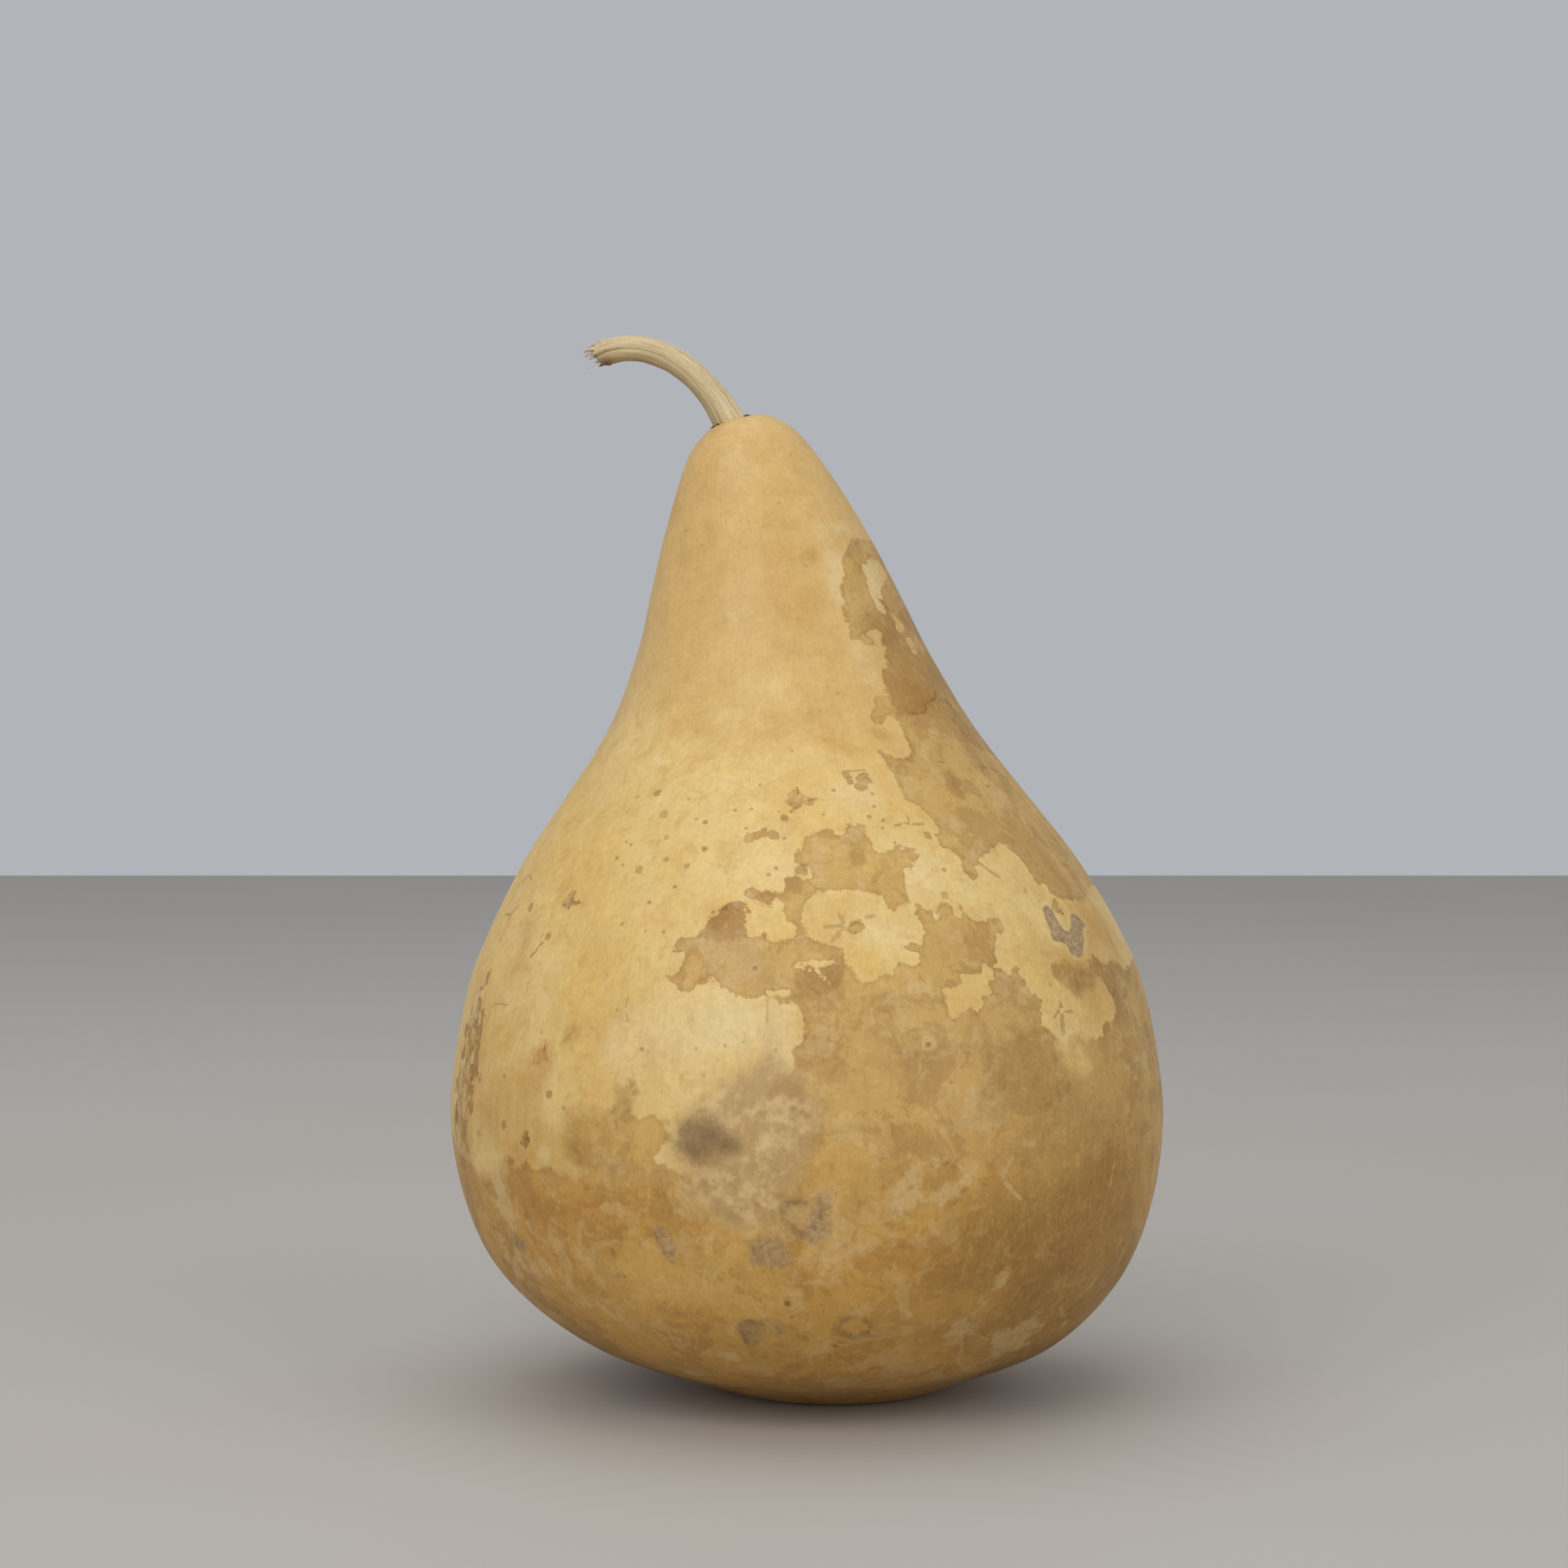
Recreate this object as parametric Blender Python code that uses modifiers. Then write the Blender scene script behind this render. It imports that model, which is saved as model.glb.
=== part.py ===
"""Dried bottle gourd of the kettle shape: a pear-shaped fruit that leans a little at
the neck, and its dry ribbed stem, which arches over to one side.

Metres, +Z up. The origin is on the table under the middle of the belly. The neck leans
towards -X, and the stem arches the same way.
"""

import math

import bmesh
import bpy
from mathutils import Matrix, Vector

MM = 0.001

# Fruit outline, top to bottom: radius and height along the fruit's own axis
TIP_HEIGHT = 288.4 * MM
BELLY_HEIGHT = 85 * MM
FOOT_RADIUS = 25 * MM
FRUIT_OUTLINE = [
    (6.9 * MM, 287.8 * MM),
    (10.6 * MM, 286.2 * MM),
    (16.3 * MM, 281.2 * MM),
    (21.7 * MM, 272.0 * MM),
    (28.8 * MM, 257.0 * MM),
    (36.8 * MM, 237.0 * MM),
    (44.5 * MM, 217.0 * MM),
    (54.5 * MM, 197.0 * MM),
    (68.7 * MM, 177.0 * MM),
    (83.0 * MM, 157.0 * MM),
    (94.1 * MM, 137.0 * MM),
    (101.5 * MM, 117.0 * MM),
    (106.1 * MM, BELLY_HEIGHT),
    (102.1 * MM, 57.0 * MM),
    (91.5 * MM, 34.0 * MM),
    (70.8 * MM, 15.5 * MM),
    (40.5 * MM, 4.0 * MM),
    (31.0 * MM, 0.6 * MM),
]
FRUIT_SIDES = 64
STEPS_BETWEEN_STATIONS = 2

# The blossom scar, a shallow dimple in the middle of the flat foot
SCAR_OUTLINE = [(7.0 * MM, 0.0), (5.0 * MM, 0.7 * MM), (2.4 * MM, 1.3 * MM), (0.0, 1.4 * MM)]

# How the fruit's axis leaves the vertical
NECK_LEAN = -20.5 * MM
NECK_LEAN_POWER = 2.7
FOOT_LEAN = 8.3 * MM
FOOT_LEAN_POWER = 3.5
CAP_HEIGHT = 222 * MM
CAP_TILT = math.radians(16)

# Low swellings round the fruit: lobes, share of the radius, direction in degrees
LOBES = [(2, 0.006, 100), (3, 0.004, 25), (5, 0.0025, 60)]
# Flatter and fuller places: direction in degrees, height, spread, depth
DENTS = [
    (205, 23 * MM, 34 * MM, 1.6 * MM),
    (320, 147 * MM, 40 * MM, 1.0 * MM),
    (60, 117 * MM, 45 * MM, 1.4 * MM),
    (140, 57 * MM, 40 * MM, 1.2 * MM),
    (250, 232 * MM, 22 * MM, 0.5 * MM),
    (350, 57 * MM, 36 * MM, -0.8 * MM),
]

# Stem: where its middle line leaves the fruit, then points of that line from there,
# sideways and up, each with the stem's radius
STEM_SEAT = (-23.0 * MM, 287.7 * MM)
STEM_PATH = [
    (2.3 * MM, -4.2 * MM, 4.7 * MM),
    (0.0 * MM, 0.0 * MM, 4.7 * MM),
    (-3.7 * MM, 5.9 * MM, 4.2 * MM),
    (-9.0 * MM, 12.3 * MM, 3.95 * MM),
    (-14.2 * MM, 16.6 * MM, 3.9 * MM),
    (-19.2 * MM, 19.4 * MM, 3.85 * MM),
    (-24.9 * MM, 21.2 * MM, 3.75 * MM),
    (-31.0 * MM, 21.5 * MM, 3.65 * MM),
    (-35.6 * MM, 20.6 * MM, 3.75 * MM),
    (-37.8 * MM, 19.7 * MM, 3.95 * MM),
]
STEM_SIDES = 40
STEM_STEPS = 3
STEM_TWIST = math.radians(38)
STEM_RIBS = 5
RIB_DEPTH = 0.085
FINE_RIBS = 12
FINE_RIB_DEPTH = 0.022

# The torn end. Directions round the stem are in degrees: 0 faces -Y and 90 faces up
TEAR_SETBACK = 0.15 * MM
TEAR_CHISEL = 1.3 * MM
HOLLOW_SHARE = 0.6
TEAR_HOLLOW = 1.2 * MM
# Each splinter of the torn edge: direction, half its width in degrees, how far it juts out
SPLINTERS = [
    (14, 12, 1.3 * MM),
    (38, 13, 2.7 * MM),
    (62, 12, 2.4 * MM),
    (128, 15, 1.6 * MM),
    (170, 12, 0.9 * MM),
    (222, 14, 2.0 * MM),
    (285, 12, 1.0 * MM),
    (330, 12, 1.2 * MM),
]

GAP = 0.3 * MM
MERGE_DISTANCE = 0.01 * MM


def smooth_through(points, steps):
    """A Catmull-Rom line through the points, which keeps both ends."""
    padded = [points[0], *points, points[-1]]
    line = []
    for before, start, end, after in zip(padded, padded[1:], padded[2:], padded[3:]):
        for step in range(steps):
            t = step / steps
            weights = (
                -0.5 * t**3 + t**2 - 0.5 * t,
                1.5 * t**3 - 2.5 * t**2 + 1,
                -1.5 * t**3 + 2 * t**2 + 0.5 * t,
                0.5 * t**3 - 0.5 * t**2,
            )
            corners = (before, start, end, after)
            line.append(tuple(sum(w * c[i] for w, c in zip(weights, corners)) for i in range(len(start))))
    line.append(tuple(points[-1]))
    return line


def axis_at(height):
    """Where the fruit's axis is at this height: sideways lean and tilt of the ring."""
    if height < BELLY_HEIGHT:
        return FOOT_LEAN * (1 - height / BELLY_HEIGHT) ** FOOT_LEAN_POWER, 0.0
    up = min(1.0, (height - BELLY_HEIGHT) / (TIP_HEIGHT - BELLY_HEIGHT))
    cap = min(1.0, max(0.0, (height - CAP_HEIGHT) / (TIP_HEIGHT - CAP_HEIGHT)))
    return NECK_LEAN * up**NECK_LEAN_POWER, CAP_TILT * cap**2


def swelling(angle, height, radius):
    """How much the skin stands out from the turned form, in metres."""
    full = math.sin(math.pi * min(1.0, radius / (60 * MM)) / 2)
    out = radius * full * sum(share * math.cos(n * (angle - math.radians(at))) for n, share, at in LOBES)
    for direction, dent_height, spread, depth in DENTS:
        turn = (angle - math.radians(direction) + math.pi) % math.tau - math.pi
        distance = math.hypot(turn * radius, height - dent_height)
        out -= depth * math.exp(-((distance / spread) ** 2))
    fade = min(1.0, max(0.0, height - 1 * MM) / (12 * MM))
    return out * fade * fade * (3 - 2 * fade)


def placed(point):
    """A point of the upright turned form, moved to where it is on the leaning fruit."""
    radius = math.hypot(point.x, point.y)
    angle = math.atan2(point.y, point.x)
    radius += swelling(angle, point.z, radius) if radius > MERGE_DISTANCE else 0.0
    lean, tilt = axis_at(point.z)
    along = radius * math.cos(angle)
    return Vector(
        (
            lean + along * math.cos(tilt),
            radius * math.sin(angle),
            point.z + along * math.sin(tilt),
        )
    )


def new_object(name, data, collection):
    obj = bpy.data.objects.new(name, data)
    collection.objects.link(obj)
    return obj


def evaluated_mesh(obj):
    """The object's mesh with its modifiers applied. The object itself is removed."""
    bpy.context.view_layer.update()
    graph = bpy.context.evaluated_depsgraph_get()
    mesh = bpy.data.meshes.new_from_object(obj.evaluated_get(graph))
    bpy.data.objects.remove(obj)
    return mesh


def tidied(mesh):
    """Joins doubled points and points every face outwards."""
    shape = bmesh.new()
    shape.from_mesh(mesh)
    bmesh.ops.remove_doubles(shape, verts=shape.verts, dist=MERGE_DISTANCE)
    bmesh.ops.recalc_face_normals(shape, faces=shape.faces)
    shape.to_mesh(mesh)
    shape.free()


def material(name, colour, roughness):
    made = bpy.data.materials.new(name)
    made.use_nodes = True
    shader = made.node_tree.nodes["Principled BSDF"]
    shader.inputs["Base Color"].default_value = (*colour, 1.0)
    shader.inputs["Roughness"].default_value = roughness
    return made


def fruit_outline():
    """The fruit's outline from its tip down to the middle of the foot."""
    side = smooth_through([(0.0, TIP_HEIGHT), *FRUIT_OUTLINE, (FOOT_RADIUS, 0.0)], STEPS_BETWEEN_STATIONS)
    return side + SCAR_OUTLINE


def make_fruit(collection):
    """The turned outline, leant over and given its lobes and dents."""
    outline = [(radius, 0.0, height) for radius, height in fruit_outline()]
    edges = [(i, i + 1) for i in range(len(outline) - 1)]
    profile = bpy.data.meshes.new("fruit_outline")
    profile.from_pydata(outline, edges, [])
    turned = new_object("fruit_turned", profile, collection)
    screw = turned.modifiers.new("Turn", "SCREW")
    screw.steps = screw.render_steps = FRUIT_SIDES
    screw.use_merge_vertices = True
    screw.merge_threshold = MERGE_DISTANCE
    mesh = evaluated_mesh(turned)
    mesh.name = "fruit"
    tidied(mesh)
    for vertex in mesh.vertices:
        vertex.co = placed(vertex.co)
    middle = [(min(values) + max(values)) / 2 for values in zip(*(v.co for v in mesh.vertices))]
    mesh.transform(Matrix.Translation((-middle[0], -middle[1], 0.0)))
    mesh.shade_smooth()
    mesh.materials.append(material("gourd_rind", (0.56, 0.38, 0.15), 0.42))
    return new_object("fruit", mesh, collection), Vector((middle[0], middle[1], 0.0))


def stem_section(collection):
    """The ribbed outline of the stem, one unit in radius."""
    curve = bpy.data.curves.new("stem_section", "CURVE")
    curve.dimensions = "2D"
    spline = curve.splines.new("POLY")
    spline.points.add(STEM_SIDES - 1)
    for i, point in enumerate(spline.points):
        angle = math.tau * i / STEM_SIDES
        radius = 1 + RIB_DEPTH * math.cos(STEM_RIBS * angle) + FINE_RIB_DEPTH * math.cos(FINE_RIBS * angle)
        point.co = (radius * math.cos(angle), radius * math.sin(angle), 0.0, 1.0)
    spline.use_cyclic_u = True
    section = new_object("stem_section", curve, collection)
    section.hide_render = True
    return section


def stem_line(seat):
    """Points of the stem's middle line with its radius, from inside the fruit to the tear."""
    line = smooth_through(STEM_PATH, STEM_STEPS)
    return [(seat + Vector((x, 0.0, z)), radius) for x, z, radius in line]


def torn_reach(angle):
    """How far the torn edge juts out along the stem at this direction round it."""
    reach = TEAR_CHISEL * math.cos(2 * angle) - TEAR_SETBACK
    for direction, half_width, length in SPLINTERS:
        turn = (angle - math.radians(direction) + math.pi) % math.tau - math.pi
        reach += length * max(0.0, 1 - abs(turn) / math.radians(half_width))
    return reach


def tear_end(mesh, end, along):
    """Hollows the stem's outer end a little and tears its edge into splinters."""
    shape = bmesh.new()
    shape.from_mesh(mesh)
    cap = min(shape.faces, key=lambda face: (face.calc_center_median() - end).length)
    edge = list(cap.verts)
    hollow = bmesh.ops.extrude_discrete_faces(shape, faces=[cap])["faces"][0]
    narrower = Matrix.Diagonal(Vector.Fill(3, HOLLOW_SHARE))
    bmesh.ops.transform(shape, matrix=narrower, space=Matrix.Translation(-end), verts=hollow.verts)
    bmesh.ops.translate(shape, verts=hollow.verts, vec=-along * TEAR_HOLLOW)
    bmesh.ops.poke(shape, faces=[hollow])
    upright = along.to_track_quat("Z", "Y").inverted()
    for vertex in edge:
        local = upright @ (vertex.co - end)
        vertex.co += along * torn_reach(math.atan2(local.y, local.x))
    shape.to_mesh(mesh)
    shape.free()


def swept_stem(line, helpers):
    """The ribbed section swept along the stem's middle line, closed at both ends."""
    section = stem_section(helpers)
    curve = bpy.data.curves.new("stem", "CURVE")
    curve.dimensions = "3D"
    curve.bevel_mode = "OBJECT"
    curve.bevel_object = section
    curve.use_fill_caps = True
    curve.twist_mode = "MINIMUM"
    spline = curve.splines.new("POLY")
    spline.points.add(len(line) - 1)
    for i, (point, (place, radius)) in enumerate(zip(spline.points, line)):
        point.co = (*place, 1.0)
        point.radius = radius
        point.tilt = STEM_TWIST * i / (len(line) - 1)
    mesh = evaluated_mesh(new_object("stem_curve", curve, helpers))
    bpy.data.objects.remove(section)
    tidied(mesh)
    return mesh


def make_stem(seat, fruit, collection, helpers):
    """The swept stem, torn at its outer end and cut to sit on the fruit."""
    line = stem_line(seat)
    mesh = swept_stem(line, helpers)
    end = line[-1][0]
    tear_end(mesh, end, (end - line[-2][0]).normalized())
    mesh.name = "stem"
    mesh.shade_smooth()
    mesh.set_sharp_from_angle(angle=math.radians(50))
    mesh.materials.clear()
    mesh.materials.append(material("dry_stem", (0.52, 0.39, 0.22), 0.7))
    stem = new_object("stem", mesh, collection)

    clearance = new_object("fruit_clearance", fruit.data.copy(), helpers)
    clearance.hide_render = True
    clearance.display_type = "WIRE"
    swell = clearance.modifiers.new("Gap", "DISPLACE")
    swell.strength = GAP
    swell.mid_level = 0.0
    cut = stem.modifiers.new("Seat", "BOOLEAN")
    cut.operation = "DIFFERENCE"
    cut.solver = "EXACT"
    cut.object = clearance


def main():
    for obj in list(bpy.data.objects):
        bpy.data.objects.remove(obj)
    gourd = bpy.data.collections.new("bottle_gourd")
    helpers = bpy.data.collections.new("helpers")
    for collection in (gourd, helpers):
        bpy.context.scene.collection.children.link(collection)
    fruit, middle = make_fruit(gourd)
    seat = Vector((STEM_SEAT[0], -middle.y, STEM_SEAT[1]))
    make_stem(seat, fruit, gourd, helpers)


main()
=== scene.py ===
"""Looks of a dried bottle gourd: its waxy, water-stained rind and its dry ribbed stem.

The frame is in metres, with +Z up, and the fruit's front faces -Y. Lengths here are in
millimetres where no comment says otherwise. Each mark on the rind has its place in degrees to
the right of the front and in millimetres up the fruit's own axis.
"""

import math
import random

import bmesh
import bpy
import numpy as np
from mathutils import Matrix, Vector


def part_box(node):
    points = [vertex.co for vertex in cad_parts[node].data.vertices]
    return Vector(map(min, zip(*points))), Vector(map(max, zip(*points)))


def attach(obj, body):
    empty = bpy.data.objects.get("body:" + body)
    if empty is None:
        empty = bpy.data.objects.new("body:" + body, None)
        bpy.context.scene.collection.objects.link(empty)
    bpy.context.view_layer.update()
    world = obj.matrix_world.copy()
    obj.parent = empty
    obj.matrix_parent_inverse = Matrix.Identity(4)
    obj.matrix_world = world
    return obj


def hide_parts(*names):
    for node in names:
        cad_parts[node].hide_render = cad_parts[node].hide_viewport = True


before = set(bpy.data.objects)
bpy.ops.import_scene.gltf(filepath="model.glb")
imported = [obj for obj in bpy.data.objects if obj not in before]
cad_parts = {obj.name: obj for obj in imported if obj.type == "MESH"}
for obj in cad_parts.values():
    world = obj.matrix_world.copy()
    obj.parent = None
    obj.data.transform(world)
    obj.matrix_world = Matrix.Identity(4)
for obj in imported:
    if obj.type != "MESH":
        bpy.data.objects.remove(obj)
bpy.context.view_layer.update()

MM = 0.001
SEED = 7
BODY = "root"

# Fruit outline, top to bottom, as the solid has it: radius and height along its own axis
TIP_HEIGHT = 288.4
BELLY_HEIGHT = 85.0
FOOT_RADIUS = 25.0
FRUIT_OUTLINE = [
    (6.9, 287.8), (10.6, 286.2), (16.3, 281.2), (21.7, 272.0), (28.8, 257.0), (36.8, 237.0),
    (44.5, 217.0), (54.5, 197.0), (68.7, 177.0), (83.0, 157.0), (94.1, 137.0), (101.5, 117.0),
    (106.1, BELLY_HEIGHT), (102.1, 57.0), (91.5, 34.0), (70.8, 15.5), (40.5, 4.0), (31.0, 0.6),
]
SCAR_OUTLINE = [(7.0, 0.0), (5.0, 0.7), (2.4, 1.3), (0.0, 1.4)]
OUTLINE_STEPS = 24
RIND_COLUMNS = 380
RIND_RINGS = 258

# How the fruit's axis leaves the vertical
NECK_LEAN = -20.5
NECK_LEAN_POWER = 2.7
FOOT_LEAN = 8.3
FOOT_LEAN_POWER = 3.5
CAP_HEIGHT = 222.0
CAP_TILT = math.radians(16)

# Low swellings: lobes, share of the radius, direction in degrees counter-clockwise from +X
LOBES = [(2, 0.006, 100), (3, 0.004, 25), (5, 0.0025, 60)]
# Flatter and fuller places: direction in degrees, height, spread, depth
DENTS = [
    (205, 23, 34, 1.6), (320, 147, 40, 1.0), (60, 117, 45, 1.4),
    (140, 57, 40, 1.2), (250, 232, 22, 0.5), (350, 57, 36, -0.8),
]
SWELL_RADIUS = 60.0
SWELL_FADE = (1.0, 12.0)
# Faint waves in the dried rind: waves round, waves up the fruit, depth in millimetres
RIPPLES = [(7, 5.1, 0.10), (11, -7.3, 0.07), (17, 11.9, 0.05), (4, 13.7, 0.06)]

# Stem: seat in the frame, then points of its middle line from there with its radius
STEM_SEAT = (-23.0, 287.7)
STEM_PATH = [
    (2.3, -4.2, 4.7), (0.0, 0.0, 4.7), (-3.7, 5.9, 4.2), (-9.0, 12.3, 3.95), (-14.2, 16.6, 3.9),
    (-19.2, 19.4, 3.85), (-24.9, 21.2, 3.75), (-31.0, 21.5, 3.65), (-35.6, 20.6, 3.75),
    (-37.8, 19.7, 3.95),
]
STEM_COLUMNS = 120
STEM_RINGS = 110
STEM_TWIST = math.radians(30)
TANGENT_STEP = 0.4
STEM_STRETCH = 90.0
# Ribs of the stem: how many round it, depth as a share of the radius, offset in degrees
STEM_RIBS = [(5, 0.02, 36), (9, 0.014, 20), (14, 0.013, 10), (23, 0.009, 3)]
# The split that runs in from the torn end on the front: width in degrees, depth share, reach
SPLIT = (4.0, 0.15, 7.0)
# Waves that bend the stem's sides a little: depth share, waves up it, times round it
STEM_WANDER = [(0.012, 0.5, 2), (0.005, 1.3, -2)]

# The torn end. Directions round the stem are in degrees: 0 faces -Y and 90 faces up
TORN_RINGS = (0.93, 0.84, 0.7, 0.5, 0.25, 0.0)
TEAR_SPAN = 3.0
PITH_SPAN = 2.5
TEAR_SETBACK = 0.15
TEAR_CHISEL = 1.3
TEAR_HOLLOW = 1.6
SPLINTERS = [
    (14, 12, 1.3), (38, 13, 2.7), (62, 12, 2.4), (128, 15, 1.6),
    (170, 12, 0.9), (222, 14, 2.0), (285, 12, 1.0), (330, 12, 1.2),
]
# Fine teeth of the torn edge: how many, shift, share of a tooth's length
TEETH = [(17, 0.6, 1.0), (29, 2.1, 0.6)]
TOOTH_LENGTH = 0.45

FIBRE_SIDES = 5
# Loose strands of the torn end: direction, share of the radius, length, thickness, curl
SLATS = [
    (34, 0.84, 4.7, 0.5, -0.9), (47, 0.72, 5.0, 0.46, -1.2), (21, 0.8, 4.3, 0.44, -0.6),
    (60, 0.85, 4.2, 0.5, -0.4),
    (70, 0.6, 4.6, 0.36, 0.5), (10, 0.62, 4.0, 0.36, -1.4), (-20, 0.8, 2.4, 0.2, -1.0),
    (150, 0.8, 3.4, 0.3, -0.6),
    (205, 0.8, 3.2, 0.3, -0.8), (262, 0.75, 2.6, 0.24, -1.6),
]
HAIRS = [
    (52, 0.7, 5.6, 0.09, 1.6), (64, 0.8, 5.0, 0.08, 2.4), (-34, 0.75, 4.2, 0.08, -2.6),
    (-48, 0.8, 6.4, 0.09, 3.4),
    (-60, 0.6, 3.2, 0.08, -1.8), (30, 0.5, 5.2, 0.08, -2.2), (100, 0.7, 4.2, 0.08, 1.2),
    (180, 0.7, 4.6, 0.08, -1.6),
]
FRINGE_COUNT = 26
# The fringe is drawn between these: direction, share of the radius, length, thickness, curl
FRINGE_LIMITS = [(0, 360), (0.5, 0.95), (1.4, 3.0), (0.08, 0.2), (-1.2, 1.2)]
FIBRE_STEPS = 7
# How far inside the end a strand starts, how it turns and lifts with its curl, how it thins
FIBRE_ROOT = 2.2
FIBRE_BEND = 0.12
FIBRE_LIFT = 0.35
FIBRE_TAPER = 0.85

# Dark scraps left where the stem joins the fruit: place from the seat, size, turn in degrees
SCRAPS = [
    ((5.2, -1.6, 1.5), (0.9, 0.5, 0.35), -20), ((6.2, -0.5, 1.5), (0.5, 0.6, 0.25), -70),
    ((-4.7, -2.4, -1.9), (0.8, 0.5, 0.3), -35), ((-3.2, -4.0, -1.2), (0.6, 0.3, 0.25), 10),
    ((4.6, 2.8, -0.1), (0.7, 0.5, 0.3), 40), ((-3.4, 3.2, -1.6), (0.6, 0.4, 0.3), -60),
]
SCRAP_CRUMPLE = (0.72, 1.2)

MERGE_DISTANCE = 0.001
# How near a thin mark a face has to be, to carry it
FACE_REACH = 1.5
BELLY_RADIUS = 106.1
# How far from an outline the distance to it is still worked out
FAR = 8.0
NEAR_MARGIN = 2.0
# Where the unseen half starts, in degrees from the front, and how softly
AWAY_START = 87.0
AWAY_WIDTH = 26.0
# Waves of that border: degrees, and millimetres of height for each radian
AWAY_WAVES = [(9.0, 17.0), (4.0, 6.0)]
# On the unseen half: below which height it is mostly stained, how fast that fades, its limit
STAIN_LEVEL = 104.0
STAIN_SLOPE = 0.16
STAIN_LIMIT = 7.0
# and how scarce the darker and the pale places are there
HIDDEN_DEPTH = -4.5

# Tan stains with crisp edges, where damp once stood on the rind
FLANK_STAIN = [
    (135, 240), (115, 246), (100, 249.5), (70, 250.7), (60, 250.6), (53, 250.4), (47.5, 248.2),
    (42.5, 246.1),
    (38, 243.6), (37, 241.8), (35.2, 239.6), (33.5, 238.6), (31.5, 236.4), (30, 234.6), (28.5, 231.8),
    (28, 230), (26.5, 228.2), (28.7, 226.8), (28.9, 225.1), (27.5, 222.1), (30, 221.6), (32.5, 221.8),
    (34, 220.7), (38, 221.1), (39.5, 221.8), (36.8, 223.2), (36.7, 224.3), (40, 225.1), (42.5, 226.3),
    (44.5, 225.9), (45.7, 224.6), (44.5, 222.1), (43, 222.5), (42.7, 219.3), (43.2, 218.2), (41.5, 217.5),
    (40.2, 215.7), (39.5, 215.1), (36.2, 214.6), (36.1, 210), (35.9, 207), (36.2, 200.7), (35, 195),
    (35, 191.7), (33.5, 189.7), (31.7, 188.6), (30, 188.6), (27.5, 189.4), (23.7, 191.1), (25, 186.7),
    (25.7, 181.7), (25.5, 178.9), (27.5, 176.1), (29.7, 174.7), (31.5, 171.7), (31.2, 168.9), (30, 167.5),
    (29.7, 165.6), (31.7, 163.6), (33.2, 161.7), (34, 160.3), (33, 158.3), (34.2, 156.1), (35.5, 155),
    (36.6, 155.6), (36.2, 158.9), (38, 159.7), (39.2, 161.1), (41.5, 162.2), (45, 163.3), (47.2, 164.4),
    (49.5, 163.3), (50.7, 161.1), (51.7, 158.9), (52, 153.3), (53, 152.5), (55, 152.8), (55.5, 150),
    (55.2, 148), (53, 146.7), (53.2, 145), (55.7, 145), (56, 149), (66, 147), (78, 151), (100, 149),
    (135, 160),
]
LEDGE_STAIN = [
    (36.2, 207.2), (33, 206.6), (30, 206.1), (28, 203.9), (26.5, 201.8), (25.5, 200), (28, 198.6),
    (32, 199.9), (36.4, 199.5),
]
LEAF_STAIN = [
    (-1.5, 160.8), (-1.2, 162.8), (-0.2, 164.4), (0.5, 165.3), (0.4, 166.7), (1.5, 167.5), (3, 168.6),
    (4.5, 169.4), (6, 171.1), (7, 170.6), (7.5, 168.2), (9.2, 168.2), (9.2, 170), (10.5, 171),
    (12, 170.6),
    (14, 170), (14.4, 168.9), (14.2, 166.1), (15, 164.4), (16.5, 163.9), (20.2, 164.4), (21, 163.6),
    (22.2, 164.2), (23.5, 164.2), (24.2, 163.3), (23.5, 161.7), (22.5, 160.3), (21.2, 158.6), (20, 158.1),
    (19.7, 155.6), (19.7, 152.8), (19, 150), (18.5, 148.6), (17, 148.3), (15.7, 147.5), (15, 148.6),
    (14, 151.1), (12.5, 152.2), (10, 152.8), (7, 153), (3, 152.8), (1.5, 151.7), (0.7, 150), (-0.5, 147),
    (-0.5, 145.3), (0.2, 141.1), (-1.2, 141.7), (-2, 145), (-3.5, 146.7), (-3.7, 148.3), (-3.5, 150),
    (-4.7, 151.7), (-3.5, 153.3), (-3, 155.6), (-2, 156.8), (-0.5, 156.7), (0.2, 155.8), (2, 158.3),
    (1.7, 160), (0, 159.9),
]
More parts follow.
